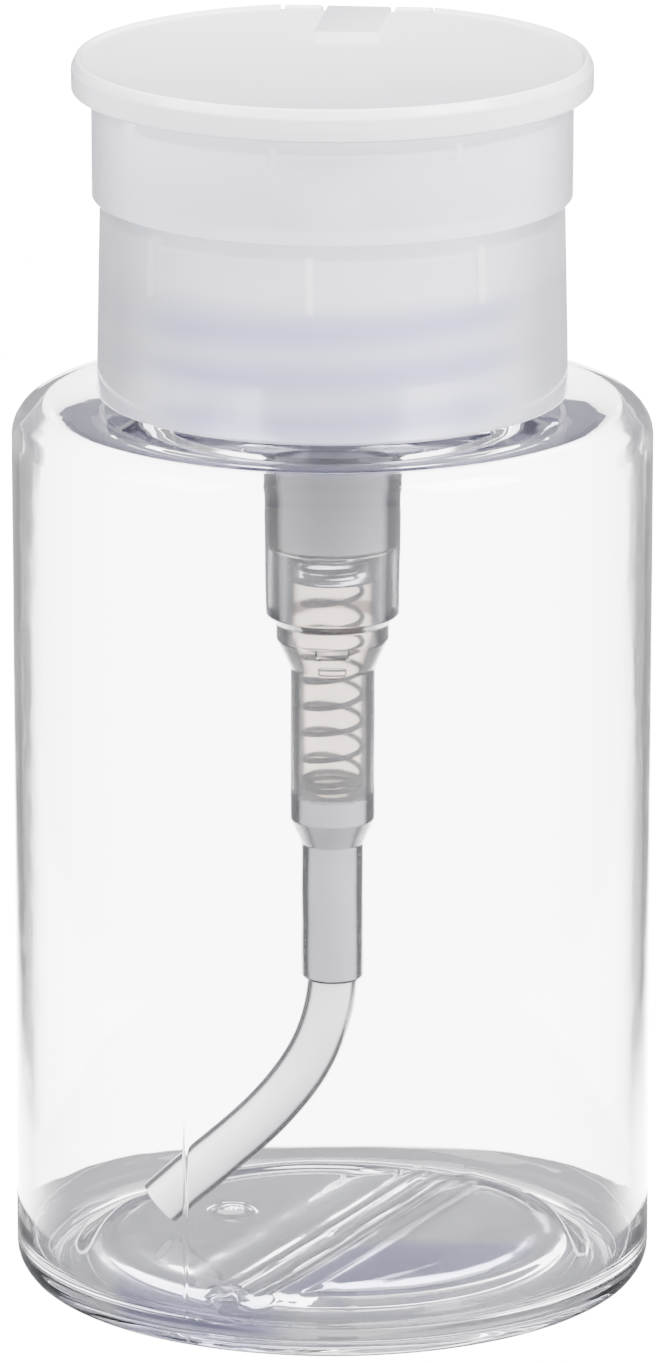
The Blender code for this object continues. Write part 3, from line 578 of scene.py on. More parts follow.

# Each frosted plastic: colour, roughness, clearness, how much lamp light passes, and the painted shade at its
# outline
FROSTED = {
    "collar": ("frosted", 0.08, 0.42, 0.84, (0.10, 0.62, 0.50)),
    "head": ("head", 0.08, 0.50, 0.88, (0.38, 0.85, 0.46)),
    "rib": ("rib", 0.12, 0.15, 0.88, (0.50, 0.90, 0.62)),
    "lid": ("lid", 0.15, 0.16, 0.86, (0.50, 0.90, 0.62)),
    "guide": ("milky", 0.40, 0.12, 0.60, (0.50, 0.90, 0.62)),
    "stem": ("rib", 0.35, 0.15, 0.70, (0.50, 0.90, 0.62)),
}
# Each milky plastic: colour, lining of its bore, colour below the spring, and clearness
MILKY = {
    "milky": ("milky", "cream", "socket", 0.96),
    "tube": ("tube", "tube", "tube", 0.86),
}


class Shader(Nodes):
    """A node material under construction round one Principled BSDF."""

    def __init__(self, name, colour, roughness, **sockets):
        self.material = bpy.data.materials.new(name)
        self.material.use_nodes = True
        super().__init__(self.material.node_tree)
        self.surface = self.tree.nodes["Principled BSDF"]
        self.colour = self.surface.inputs["Base Color"]
        self.set("Base Color", (*colour, 1))
        self.set("Roughness", roughness)
        for label, value in sockets.items():
            self.set(label.replace("_", " "), value)

    def set(self, label, value):
        self.feed(self.surface.inputs[label], value)

    def group(self, tree, **values):
        return self.fed("ShaderNodeGroup", values, node_tree=tree).outputs

    def bump(self, height, strength, distance):
        values = {"Strength": strength, "Distance": distance, "Height": height}
        self.set("Normal", self.fed("ShaderNodeBump", values).outputs["Normal"])

    def ranged(self, value, first, last, target):
        """Feeds a shader input from a value between 0 and 1, spread evenly from first to last."""
        self.set(target, self.put("ShaderNodeMapRange", value, None, None, first, last).outputs["Result"])

    def marked(self, name):
        """The value that the mesh's points carry under a name."""
        return self.put("ShaderNodeAttribute", attribute_name=name).outputs["Fac"]

    def colour_so_far(self):
        if not self.colour.is_linked:
            plain = self.put("ShaderNodeRGB").outputs[0]
            plain.default_value = self.colour.default_value
            self.set("Base Color", plain)
        return self.colour.links[0].from_socket

    def lit_lines(self, mask, colour, first=None):
        """Mixes another colour over the first one, or over the base colour so far, by a mask."""
        values = {"Factor": mask, 6: first or self.colour_so_far(), 7: (*colour, 1)}
        self.set("Base Color", self.fed("ShaderNodeMix", values, data_type="RGBA").outputs[2])

    def facing(self):
        """How far the surface turns away from the view: 0 towards it, 1 at the outline."""
        return self.put("ShaderNodeLayerWeight", 0.5).outputs["Facing"]

    def shade_outline(self, start, end, share, up_to=None):
        """Painted shade: darkens the base colour towards the outline, up to a height, in place of the dim
        surroundings that the plastic refracts and reflects there.
        """
        scale = self.spread(self.facing(), start, end, 1.0, share)
        if up_to:
            above = self.spread(self.place()[2], up_to - 3 * MM, up_to, 0.0, 1.0)
            scale = self.maths("MAXIMUM", scale, above)
        values = {0: self.colour_so_far(), "Scale": scale}
        self.set("Base Color", self.fed("ShaderNodeVectorMath", values, operation="SCALE").outputs[0])

    def lined_bore(self, colour, socket, clearness):
        """The bore's surface is milkier than the outer one where it faces the light."""
        faced = self.maths("SUBTRACT", 1.0, self.put("ShaderNodeNewGeometry").outputs["Backfacing"])
        mask = self.maths("MULTIPLY", self.marked("bore"), faced)
        deep = self.spread(self.place()[2], SOCKET_TOP - 0.3 * MM, SOCKET_TOP + 0.3 * MM, 1.0, 0.0)
        outside = self.spread(deep, 0.0, 1.0, clearness, SOCKET_CLEARNESS)
        self.set("Transmission Weight", self.spread(mask, 0.0, 1.0, outside, BORE_CLEARNESS))
        self.lit_lines(deep, socket)
        self.lit_lines(mask, colour)

    def lets_lamps_through(self, colour):
        """Light from lamps passes straight through, and so does light that is caught in a wall for long."""
        path = self.put("ShaderNodeLightPath").outputs
        clear = self.put("ShaderNodeBsdfTransparent", (*colour, 1)).outputs[0]
        trapped = self.maths("GREATER_THAN", path["Ray Depth"], ESCAPE_DEPTH)
        through = self.maths("MAXIMUM", path["Is Shadow Ray"], trapped)
        mix = self.put("ShaderNodeMixShader", through, self.surface.outputs[0], clear)
        self.feed(self.tree.nodes["Material Output"].inputs["Surface"], mix.outputs[0])


class Group(Nodes):
    """A shader node group under construction, with named inputs and one or more values out."""

    def __init__(self, name, inputs, outputs):
        super().__init__(bpy.data.node_groups.new(name, "ShaderNodeTree"))
        for label, default in inputs.items():
            item = self.tree.interface.new_socket(name=label, in_out="INPUT", socket_type=FLOAT)
            item.default_value = default
        for label in outputs:
            self.tree.interface.new_socket(name=label, in_out="OUTPUT", socket_type=FLOAT)
        self.given = self.put("NodeGroupInput").outputs
        self.made = self.put("NodeGroupOutput").inputs


def flow_group():
    """Slow waves and fine grain of moulded plastic, from the piece's own place."""
    group = Group("moulded_flow", {"Scale": 120.0, "Grain": 2500.0}, ("Waves", "Grain"))
    where = group.where()
    group.feed(group.made["Waves"], group.noise(where, group.given["Scale"], 2.0))
    group.feed(group.made["Grain"], group.noise(where, group.given["Grain"], 3.0))
    return group.tree


def streak_group():
    """Fine lines round the axis, as a wire die leaves them."""
    group = Group("polish_lines", {"Along": 6000.0, "Around": 300.0}, ("Lines",))
    scales = [group.given[label] for label in ("Around", "Around", "Along")]
    parts = [group.maths("MULTIPLY", part, scale) for part, scale in zip(group.place(), scales)]
    stretched = group.put("ShaderNodeCombineXYZ", *parts).outputs[0]
    group.feed(group.made["Lines"], group.noise(stretched, 1.0, 2.0))
    return group.tree


def thread_shadow_group():
    """A mask of painted shadow of the threaded sleeve behind the collar's wall, as soft bands along its
    thread.
    """
    group = Group("thread_bands", {"Low": 0.09, "Lead": 0.004, "Top": 0.1}, ("Mask",))
    maths = group.maths
    place = group.place()
    height = maths("DIVIDE", maths("SUBTRACT", place[2], group.given["Low"]), group.given["Lead"])
    turns = maths("SUBTRACT", height, maths("DIVIDE", group.heading(place), 2 * math.pi))
    wave = maths("COSINE", maths("MULTIPLY", turns, 2 * math.pi))
    soft = maths("ADD", 1 - THREAD_SHADOW_DEPTH, maths("MULTIPLY", wave, THREAD_SHADOW_DEPTH))
    below = maths("MULTIPLY", maths("SUBTRACT", group.given["Top"], place[2]), THREAD_SHADOW_EDGE)
    window = group.put("ShaderNodeClamp", below).outputs[0]
    group.feed(group.made["Mask"], maths("MULTIPLY", soft, window))
    return group.tree


def rib_group():
    """A mask of short upright lines round the axis, where ribs stand behind a wall."""
    labels = {"Count": 8.0, "Turn": 0.0, "Radius": 0.02, "Half": 0.0003, "Low": 0.0, "High": 1.0}
    group = Group("rib_lines", labels, ("Mask",))
    maths = group.maths
    given = group.given
    place = group.place()
    pitch = maths("DIVIDE", 2 * math.pi, given["Count"])
    turns = maths("DIVIDE", maths("SUBTRACT", group.heading(place), given["Turn"]), pitch)
    off = maths("ABSOLUTE", maths("SUBTRACT", turns, maths("ROUND", turns)))
    distance = maths("MULTIPLY", maths("MULTIPLY", off, pitch), given["Radius"])
    line = maths("MULTIPLY", maths("SUBTRACT", given["Half"], distance), RIB_SIDE_EDGE)
    above = maths("MULTIPLY", maths("SUBTRACT", place[2], given["Low"]), RIB_FOOT_EDGE)
    below = maths("MULTIPLY", maths("SUBTRACT", given["High"], place[2]), RIB_TOP_EDGE)
    mask = maths("MINIMUM", maths("MINIMUM", line, above), below)
    group.feed(group.made["Mask"], group.put("ShaderNodeClamp", mask).outputs[0])
    return group.tree


def moulded(flow, name, colour, roughness, clearness, passed, bore_roughness=0.30):
    """Translucent plastic with the slow waves and fine grain of its mould. Its bore is less polished."""
    shader = Shader(name, colour, roughness, Transmission_Weight=clearness, IOR=1.42)
    grain = shader.group(flow, Scale=90.0, Grain=3000.0)
    shader.lit_lines(grain["Waves"], colour, (*(c * 0.95 for c in colour), 1))
    polished = shader.spread(grain["Waves"], 0.0, 1.0, roughness * 0.85, roughness * 1.15)
    rough = max(roughness, bore_roughness)
    shader.set("Roughness", shader.spread(shader.marked("bore"), 0.0, 1.0, polished, rough))
    shader.bump(grain["Grain"], 0.12, 0.00005)
    shader.lets_lamps_through(passed)
    return shader


def make_materials(colours):
    flow = flow_group()
    lines = streak_group()
    ribbed = rib_group()
    threaded = thread_shadow_group()
    made = {}

    clear = Shader("clear_bottle", colours.clear, 0.0, Transmission_Weight=1.0, IOR=1.5)
    waves = clear.group(flow, Scale=70.0, Grain=900.0)
    clear.bump(waves["Waves"], 0.35, 0.0004)
    # Painted shade darkens the bottle's outline below the shoulder
    clear.shade_outline(0.62, 0.81, 0.03, SHOULDER - 2 * MM)
    # Painted shade: dark lavender patches on the base's lobe and heel
    clear.lit_lines(clear.marked("patch"), colours.painted_base_shade)
    clear.lets_lamps_through((0.97, 0.97, 0.98))
    made["clear"] = clear

    for name, (colour, roughness, clearness, through, edge) in FROSTED.items():
        colour = getattr(colours, colour)
        passed = tuple(through * c for c in colour)
        shader = moulded(flow, name + "_plastic", colour, roughness, clearness, passed)
        if name in RIB_LINES:
            # Painted light: where ribs stand behind the wall, it is less clear and a lighter colour, in place
            # of the ribs seen through it
            marks = shader.group(ribbed, **RIB_LINES[name])["Mask"]
            shader.ranged(marks, clearness, 0.1, "Transmission Weight")
            shader.lit_lines(marks, colours.rib)
        if name == "collar":
            # Painted shadow of the sleeve's thread, as soft bands where the collar faces the view
            bands = shader.group(threaded, Low=THREAD_LOW, Lead=LEAD, Top=NECK_TOP - 0.5 * MM)["Mask"]
            within = shader.spread(shader.facing(), 0.20, 0.46, 1.0, 0.0)
            shader.lit_lines(shader.maths("MULTIPLY", bands, within), colours.band)
        # Painted shade towards the piece's outline
        shader.shade_outline(*edge)
        made[name] = shader
    for name, (*parts, clearness) in MILKY.items():
        colour, inner, deep = (getattr(colours, part) for part in parts)
        shader = moulded(flow, name + "_plastic", colour, 0.04, clearness, (0.95, 0.95, 0.95), 0.17)
        shader.lined_bore(inner, deep, clearness)
        # Painted shade towards the piece's outline
        shader.shade_outline(0.30, 0.46, 0.04)
        made[name] = shader

    foam = Shader("sealing_foam", (0.86, 0.85, 0.83), 0.85)
    foam.bump(foam.group(flow, Scale=900.0, Grain=2600.0)["Grain"], 0.6, 0.0002)
    made["foam"] = foam

    steel = Shader("stainless_steel", colours.steel, 0.22, Metallic=1.0)
    drawn = steel.group(lines, Along=9000.0, Around=500.0)["Lines"]
    steel.ranged(drawn, 0.14, 0.36, "Roughness")
    steel.bump(drawn, 0.15, 0.00002)
    made["steel"] = steel
    return {name: shader.material for name, shader in made.items()}


# Bottle


def off_ridge(x, y):
    """Distance off the base's ridge, with the right lobe positive."""
    return x * math.sin(RIDGE_HEADING) - y * math.cos(RIDGE_HEADING)


# Its base, with a larger lobe on the right of the ridge and a smaller one on the left
BASE_EDGE = 24.9 * MM
BASE_SLOPE = 3.4 * MM
INNER_SOFTNESS = 1.2
LOBE_STEP = 2.1 * MM
LOBE_SHIFT = 1.0 * MM
LOBE_EDGE = 2.6 * MM     # from the ridge
RIGHT_LOBE = 23.2 * MM
LEFT_LOBE = 21.0 * MM
DIMPLE = (-9.6 * MM, 5.6 * MM)
DIMPLE_RADIUS = 2.2 * MM
DIMPLE_DEPTHS = (1.2 * MM, 0.2 * MM)  # from below, and on the inner face
KNOB = (-9.8 * MM, -18.6 * MM)
KNOB_RISE = 0.6 * MM
KNOB_RADIUS = 1.9 * MM
GROOVE_DEPTH = 0.12 * MM
GROOVE_HALF = 0.9 * MM
GROOVE_PLACE = 1.2 * MM  # from the ridge's middle
GROOVE_END = 22 * MM
PARTING_RISE = 0.045 * MM
PARTING_HALF = 0.0068    # radians
INNER_ROWS = 56
UNDER_ROWS = 52


def base_rise(radius, angle, sizes, softness):
    """Height of the pushed-up base. A softness over 1 spreads its steps, as on the inner face."""
    x = radius * math.cos(angle)
    y = radius * math.sin(angle)
    off = off_ridge(x, y)
    step = LOBE_STEP * softness
    rise = sizes.lobe_rise
    height = sizes.push_up * smooth((BASE_EDGE - radius) / BASE_SLOPE)
    if off > 0:
        edge = math.hypot(x - LOBE_SHIFT, y)
        inside = min(RIGHT_LOBE - edge, off - LOBE_EDGE)
        height += rise * smooth(inside / step)
        height += rise * smooth((inside - 3.2 * MM) / step)
        height -= 0.7 * rise * smooth((inside - 5.6 * MM) / (7 * MM))
    else:
        edge = math.hypot(x + LOBE_SHIFT, y)
        inside = min(LEFT_LOBE - edge, -off - LOBE_EDGE)
        height += rise * smooth(inside / (1.6 * step))
        dot = math.hypot(x - DIMPLE[0], y - DIMPLE[1])
        height += DIMPLE_DEPTHS[softness != 1] * smooth((DIMPLE_RADIUS - dot) / (1.2 * MM))
    groove = smooth((GROOVE_HALF - abs(abs(off) - GROOVE_PLACE)) / (0.7 * MM))
    height -= GROOVE_DEPTH * groove * smooth((GROOVE_END - radius) / (2 * MM))
    knob = math.hypot(x - KNOB[0], y - KNOB[1])
    height += KNOB_RISE * smooth((KNOB_RADIUS - knob) / (1.1 * MM))
    return height


def base_shade_share(x, y, z):
    """How far a place on the bottle belongs to the patches of painted shade on its base, on the right lobe
    and at the heel.
    """
    if z > 5 * MM:
        return 0.0
    off = off_ridge(x, y)
    radius = math.hypot(x, y)
    lobe = smooth((20.2 * MM - radius) / (0.8 * MM)) * smooth((off - 3.6 * MM) / (1.6 * MM))
    lobe *= smooth((-4.0 * MM - y) / (2 * MM))
    heel = smooth((radius - 26.8 * MM) / MM) * smooth((x + 21 * MM) / (2 * MM)) * float(y < 0)
    heel *= smooth((-2 * MM - x) / (6 * MM))
    return max(lobe, heel)


def parting_rise(angle, line):
    """Height of the mould's parting line at an angle."""
    return PARTING_RISE * smooth(1 - apart(angle, line) / PARTING_HALF)


def base_point(angle, radius, sizes, softness, floor=0.0):
    return radius, base_rise(radius, angle, sizes, softness) + floor


def neck_wall(angle, height):
    return NECK_RADIUS + bead(angle, height, NECK_TURNS, THREAD_LOW), height


def side_wall(angle, radius, height):
    """The bottle's side with its two parting lines."""
    line = max(parting_rise(angle, PARTING), parting_rise(angle, PARTING + math.pi))
    return radius - PARTING_RISE + line, height


def bottle_stations(sizes):
    outer = radius_of("bottle")
    wall = sizes.bottle_wall
    edge = 3.1 * MM
    heel = 2.9 * MM
    ring_outer = outer - heel
    ring_inner = ring_outer - 2.2 * MM
    floor = sizes.heel_wall
    inner_start = ring_outer - 1.2 * MM
    inner_face = partial(base_point, sizes=sizes, softness=INNER_SOFTNESS, floor=floor)
    stations = [inner_face(0, radius=0)]
    stations += [partial(inner_face, radius=inner_start * i / INNER_ROWS) for i in range(1, INNER_ROWS + 1)]
    stations += arc((outer - wall - 3.2 * MM, floor + 3.4 * MM), 3.3 * MM, -66, -4, 8)
    stations += [(outer - wall, z) for z in (8 * MM, 14 * MM, 40 * MM, 70 * MM)]
    side = SHOULDER - edge
    inner_edge = edge - wall * 0.6
    stations += arc((outer - wall - inner_edge, side), inner_edge, 0, 84, 8)
    thick = SHOULDER - sizes.shoulder_wall
    stations += [(23.6 * MM, SHOULDER - wall - 0.25 * MM), (21 * MM, SHOULDER - wall - 0.8 * MM)]
    stations += [(18.5 * MM, thick + 0.1 * MM), (16.5 * MM, thick)]
    stations += arc((NECK_BORE + 1.5 * MM, thick + 1.5 * MM), 1.5 * MM, 270, 180, 5)
    stations += [(NECK_BORE, NECK_TOP - 0.3 * MM), (NECK_BORE + 0.3 * MM, NECK_TOP)]
    stations += [(NECK_RADIUS - 0.3 * MM, NECK_TOP), (NECK_RADIUS, NECK_TOP - 0.3 * MM)]
    heights = [NECK_TOP - 0.5 * MM - THREAD_SPAN * i / THREAD_ROWS for i in range(THREAD_ROWS + 1)]
    stations += [partial(neck_wall, height=height) for height in heights]
    stations += arc((NECK_RADIUS + 0.9 * MM, SHOULDER + 1.15 * MM), 0.9 * MM, 180, 262, 6)
    stations += [(19 * MM, SHOULDER + 0.14 * MM), (24 * MM, SHOULDER + 0.04 * MM)]
    stations += arc((outer - edge, side), edge, 88, 45, 5)
    profile = arc((outer - edge, side), edge, 38, 0, 5)
    profile += [(outer, z) for z in (70 * MM, 45 * MM, 20 * MM, 8 * MM)]
    profile += arc((ring_outer, heel), heel, 0, -40, 4)
    stations += [partial(side_wall, radius=radius, height=height) for radius, height in profile]
    stations += arc((ring_outer, heel), heel, -48, -90, 5)
    stations += [(ring_inner + 0.3 * MM, 0)]
    underside = partial(base_point, sizes=sizes, softness=1.0)
    radii = [(ring_inner - 0.1 * MM) * (1 - i / UNDER_ROWS) for i in range(UNDER_ROWS)]
    stations += [partial(underside, radius=radius) for radius in radii]
    stations.append(underside(0, radius=0))
    return stations


class DISPENSER_OT_bottle(bpy.types.Operator):
    """Make the clear bottle: neck thread, shoulder, parting line and two-lobed base"""

    bl_idname = "dispenser.bottle"
    bl_label = "Bottle"

    def execute(self, context):
        sizes = context.scene.dispenser_sizes
        angles = angles_with_line(240, (PARTING, PARTING + math.pi))
        obj = lathe("clear_bottle_shell", bottle_stations(sizes), angles)
        # Marks where shade is painted on the base
        mark(obj.data, "patch", [base_shade_share(*vertex.co) for vertex in obj.data.vertices])
        finish_piece(obj, MATERIALS["clear"], "bottle_body", ["bottle"], "clear_bottle", 50)
        return {"FINISHED"}


# Collar


def skirt_top(sizes):
    """The collar's outer radius at its top, inside the press head."""
    return radius_of("press_head") - sizes.head_wall - 0.3 * MM


def sleeve_wall(angle, height):
    return SLEEVE_BORE - bead(angle, height, SLEEVE_TURNS, THREAD_LOW + LEAD / 2), height


def collar_outline(sizes):
    round_off = sizes.edge_round
    top_radius = skirt_top(sizes)
    bottom_radius = radius_of("screw_collar")
    wall = sizes.collar_wall
    lowest = low("screw_collar")
    sleeve = SLEEVE_BORE + 1.0 * MM
    sleeve_low = NECK_TOP - 9.5 * MM
    hole = 7.0 * MM
    guide = top_radius - wall
    points = [
        (top_radius, high("screw_collar"), round_off),
        (bottom_radius, lowest, 0.45 * MM),
        (bottom_radius - wall, lowest, 0.2 * MM),
        (guide, WEB_LOW, 0.5 * MM),
        (sleeve, WEB_LOW, 0.3 * MM),
        (sleeve, sleeve_low, round_off),
        (SLEEVE_BORE, sleeve_low, round_off),
    ]
    stations = soften([(guide, WEB_LOW + MM)] + points + [(SLEEVE_BORE, sleeve_low + MM)])[1:-1]
    heights = [sleeve_low + 0.4 * MM + THREAD_SPAN * i / THREAD_ROWS for i in range(THREAD_ROWS + 1)]
    stations += [partial(sleeve_wall, height=height) for height in heights]
    inner = [
        (SLEEVE_BORE, WEB_LOW - MM),
        (SLEEVE_BORE, WEB_LOW, round_off),
        (hole, WEB_LOW, round_off),
        (hole, WEB_HIGH, round_off),
        (guide, WEB_HIGH, 0.3 * MM),
        (guide, high("screw_collar"), round_off),
        (top_radius, high("screw_collar")),
    ]
    return stations + soften(inner)[:-1]


def make_ribs(name, body, turn, reach, wall_radius, span):
    """Ribs inside a skirt."""
    values = {
        "Count": RIB_COUNT,
        "Radius": wall_radius - reach / 2,
        "Level": (span[0] + span[1]) / 2,
        "Turn": turn,
        "Size": (RIB_WIDTH, reach, span[1] - span[0]),
        "Round": False,
    }
    obj = TREES["wheel"].build(name, values)
    finish_piece(obj, MATERIALS["rib"], body, [], "frosted_plastic", 30)


class DISPENSER_OT_collar(bpy.types.Operator):
    """Make the frosted screw collar with its threaded sleeve and ribs"""

    bl_idname = "dispenser.collar"
    bl_label = "Collar"

    def execute(self, context):
        sizes = context.scene.dispenser_sizes
        obj = lathe("frosted_collar", collar_outline(sizes), even_angles(216), ring=True)
        mark_inside(obj, radius_of("press_head") - sizes.head_wall - 0.65 * MM)
        finish_piece(obj, MATERIALS["collar"], "collar_body", ["screw_collar"], "frosted_plastic", 30)
        wall_radius = skirt_top(sizes) - sizes.collar_wall / 2
        reach = 1.0 * MM + sizes.collar_wall / 2
        make_ribs("collar_ribs", "collar_body", COLLAR_RIB_TURN, reach, wall_radius, COLLAR_RIB_SPAN)
        return {"FINISHED"}


# Pump

PADS = ((61.4 * MM, 0.55 * MM), (59.4 * MM, 0.5 * MM))  # level and half height of each
PAD_RISE = 0.35 * MM
PAD_HALF = 0.30          # radians
TAPER = ((5.35 * MM, 61.9 * MM), (4.0 * MM, 58.9 * MM))
PUMP_SIDES = 120
GASKET_SIDES = 160
STEM = 2.5 * MM          # outer radius of the stem, and the next its bore's
STEM_BORE = 1.0 * MM
STEM_STOP = 4.3 * MM
BALL_SEAT = 1.9 * MM
PISTON_BORE = 2.65 * MM
PISTON_SKIRT = 3.35 * MM  # inner radius of its lower lip
CLOSED_TURNS = 1.75      # of the spring, at each end
CLOSED_PITCH = 1.12      # of the wire's diameter
OPEN_PITCH = 2.4 * MM
TUBE_RADIUS = 2.335 * MM
TUBE_SLOPE = math.radians(43)
TUBE_REACH = 0.543       # of the bottle's radius
TUBE_LEVEL = 6.2 * MM    # of the middle of its open end
TUBE_WALL = 0.55 * MM
TUBE_SIDES = 56
TUBE_STEPS = 80


def pad_rise(angle, height):
    """Two small pads on the front of the housing's taper."""
    best = 0
    for level, half in PADS:
        best = max(best, smooth((half - abs(height - level)) / (0.18 * MM)))
    return PAD_RISE * best * smooth((PAD_HALF - apart(angle, -math.pi / 2)) / 0.05)


def padded(angle, radius, height):
    return radius + pad_rise(angle, height), height


def housing_stations():
    wide, wide_bore = 6.6 * MM, 6.1 * MM
    step, barrel = TAPER[0][0], TAPER[1][0]
    step_bore, barrel_bore = 4.5 * MM, 3.35 * MM
    taper_top, taper_foot = TAPER[0][1], TAPER[1][1]
    step_floor = 70.9 * MM
    cage, cage_hole, inlet, socket = 2.2 * MM, 1.62 * MM, 1.2 * MM, 2.485 * MM
    socket_top, cage_top, barrel_floor = 40.7 * MM, 46.1 * MM, 46.6 * MM
    foot = low("pump_housing")
    flange = radius_of("pump_housing")
    top = high("pump_housing")
    shell = 6.55 * MM
    outer = [
        (wide_bore, top, 0.1 * MM),
        (wide, top, 0.15 * MM),
        (wide, FLANGE_HIGH, 0.2 * MM),
        (flange, FLANGE_HIGH, 0.2 * MM),
        (flange, FLANGE_LOW, 0.2 * MM),
        (wide, FLANGE_LOW, 0.4 * MM),
        (shell, 84 * MM),
        (6.3 * MM, 64.3 * MM, 0.35 * MM),
        (step, 63.4 * MM, 0.3 * MM),
        (step, taper_top, 0.5 * MM),
    ]
    taper = between(*TAPER, 16)[1:-1]
    lower = [
        (barrel, taper_foot, 0.6 * MM),
        (barrel, 44.3 * MM, 0.5 * MM),
        (2.95 * MM, 41.85 * MM, 0.5 * MM),
        (2.925 * MM, 28.9 * MM, 0.15 * MM),
        (2.7 * MM, foot, 0.1 * MM),
        (socket, foot, 0.05 * MM),
        (socket, socket_top, 0.1 * MM),
        (inlet, socket_top, 0.1 * MM),
        (inlet, 42.3 * MM, 0.1 * MM),
        (cage, 43.3 * MM, 0.1 * MM),
        (cage, cage_top, 0.1 * MM),
        (cage_hole, cage_top, 0.1 * MM),
        (cage_hole, barrel_floor, 0.1 * MM),
        (barrel_bore, barrel_floor, 0.25 * MM),
        (barrel_bore, taper_foot, 0.6 * MM),
        (step_bore, 61.8 * MM, 0.6 * MM),
        (step_bore, step_floor, 0.1 * MM),
        (wide_bore, step_floor, 0.15 * MM),
    ]
    stations = soften(outer + [(5.3 * MM, 61.7 * MM)])[:-1]
    stations += [partial(padded, radius=radius, height=height) for radius, height in taper]
    stations += soften([(4.1 * MM, 59.2 * MM)] + lower[:7])[1:-1]
    bore_from = len(stations)
    stations += soften(lower[5:] + [(wide_bore, top)])[1:-1]
    return stations, bore_from


def turn_ring(name, points, angles, *finish):
    """A ring turned from its outline and finished."""
    finish_piece(lathe(name, soften(points, ring=True), angles, ring=True), *finish)


class DISPENSER_OT_pump(bpy.types.Operator):
    """Make the pump's housing, guide, gasket, piston, stem and valve balls"""

    bl_idname = "dispenser.pump"
    bl_label = "Pump"

    def execute(self, context):
        around = even_angles(PUMP_SIDES)
        stations, bore_from = housing_stations()
        obj = lathe("milky_housing", stations, around, ring=True, bore_from=bore_from)
        finish_piece(obj, MATERIALS["milky"], "pump_body", ["pump_housing"], "milky_plastic", 30)
        self.make_guide(around)
        self.make_gasket()
        self.make_piston(around)
        self.make_stem(around)
        for node, body in (("inlet_ball", "inlet_ball_body"), ("outlet_ball", "outlet_ball_body")):
            self.make_ball(node, body)
        return {"FINISHED"}

    def make_guide(self, around):
        top = high("stem_guide")
        outer = radius_of("stem_guide")
        bore = outer - 0.95 * MM
        hole = 2.65 * MM
        foot = low("stem_guide")
        points = [
            (outer, top, 0.15 * MM),
            (outer, foot, 0.15 * MM),
            (bore, foot, 0.15 * MM),
            (bore, top - 1.2 * MM, 0.3 * MM),
            (hole, top - 1.2 * MM, 0.1 * MM),
            (hole, top, 0.15 * MM),
        ]
        finish = (MATERIALS["guide"], "pump_body", ["stem_guide"], "white_plastic", 30)
        turn_ring("guide_sleeve", points, around, *finish)

    def make_gasket(self):
        outer = radius_of("neck_gasket")
        top = high("neck_gasket")
        foot = low("neck_gasket")
        points = [
            (outer, top, 0.25 * MM),
            (outer, foot, 0.25 * MM),
            (NECK_BORE, foot, 0.25 * MM),
            (NECK_BORE, top, 0.25 * MM),
        ]
        finish = (MATERIALS["foam"], "pump_body", ["neck_gasket"], "sealing_foam", 40)
        turn_ring("gasket_ring", points, even_angles(GASKET_SIDES), *finish)

    def make_piston(self, around):
        foot = low("piston")
        top = high("piston")
        lip = radius_of("piston")
        body = lip - 0.2 * MM
        points = [
            (3.4 * MM, top, 0.2 * MM),
            (3.4 * MM, top - 2.3 * MM, 0.3 * MM),
            (lip, top - 2.3 * MM, 0.08 * MM),
            (body, top - 3.1 * MM, 0.3 * MM),
            (body, foot + 1.3 * MM, 0.3 * MM),
            (lip, foot + 0.9 * MM, 0.1 * MM),
            (lip - 0.1 * MM, foot, 0.55 * MM),
            (PISTON_SKIRT, foot, 0.15 * MM),
            (PISTON_SKIRT, foot + 2.2 * MM, 0.2 * MM),
            (PISTON_BORE, foot + 2.2 * MM, 0.1 * MM),
            (PISTON_BORE, top, 0.1 * MM),
        ]
        finish = (MATERIALS["milky"], "plunger_body", ["piston"], "milky_plastic", 30)
        turn_ring("piston_seal", points, around, *finish)

    def make_stem(self, around):
        top = high("piston_stem")
        foot = low("piston_stem")
        stop = high("stem_guide") - 1.5 * MM
        seat = NECK_TOP + 4.5 * MM
        points = [
            (STEM, top, 0.2 * MM),
            (STEM, stop, 0.2 * MM),
            (STEM_STOP, stop, 0.2 * MM),
            (STEM_STOP, stop - 1.0 * MM, 0.2 * MM),
            (STEM, stop - 1.0 * MM, 0.3 * MM),
            (STEM, foot, 0.2 * MM),
            (STEM_BORE, foot, 0.1 * MM),
            (STEM_BORE, seat, 0.1 * MM),
            (BALL_SEAT, seat + 0.9 * MM, 0.1 * MM),
            (BALL_SEAT, top, 0.1 * MM),
        ]
        finish = (MATERIALS["stem"], "plunger_body", ["piston_stem"], "white_plastic", 30)
        turn_ring("stem_tube", points, around, *finish)

    def make_ball(self, node, body):
        centre = (BOX[node][0] + BOX[node][1]) / 2
        radius = radius_of(node) - centre.x
        work = bmesh.new()
        place = Matrix.Translation(centre)
        bmesh.ops.create_icosphere(work, subdivisions=4, radius=radius, matrix=place)
        obj = worked("polished_" + node, work)
        finish_piece(obj, MATERIALS["steel"], body, [node], "stainless_steel", 60)


class DISPENSER_OT_spring(bpy.types.Operator):
    """Wind the return spring"""

    bl_idname = "dispenser.spring"
    bl_label = "Spring"

    def execute(self, context):
        wire = context.scene.dispenser_sizes.wire
        foot = low("return_spring") + wire / 2
        height = high("return_spring") - low("return_spring") - wire
        pitch = wire * CLOSED_PITCH
        open_turns = round((height - 2 * CLOSED_TURNS * pitch) / OPEN_PITCH)
        values = {
            "Radius": radius_of("return_spring") - wire / 2,
            "Wire": wire / 2,
            "Foot": foot,
            "Height": height,
            "Open turns": float(open_turns),
            "Closed turns": CLOSED_TURNS,
            "Closed pitch": pitch,
        }
        obj = TREES["spring"].build("coiled_spring", values)
        finish_piece(obj, MATERIALS["steel"], "pump_body", ["return_spring"], "stainless_steel", 60)
        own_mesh(obj)
        return {"FINISHED"}


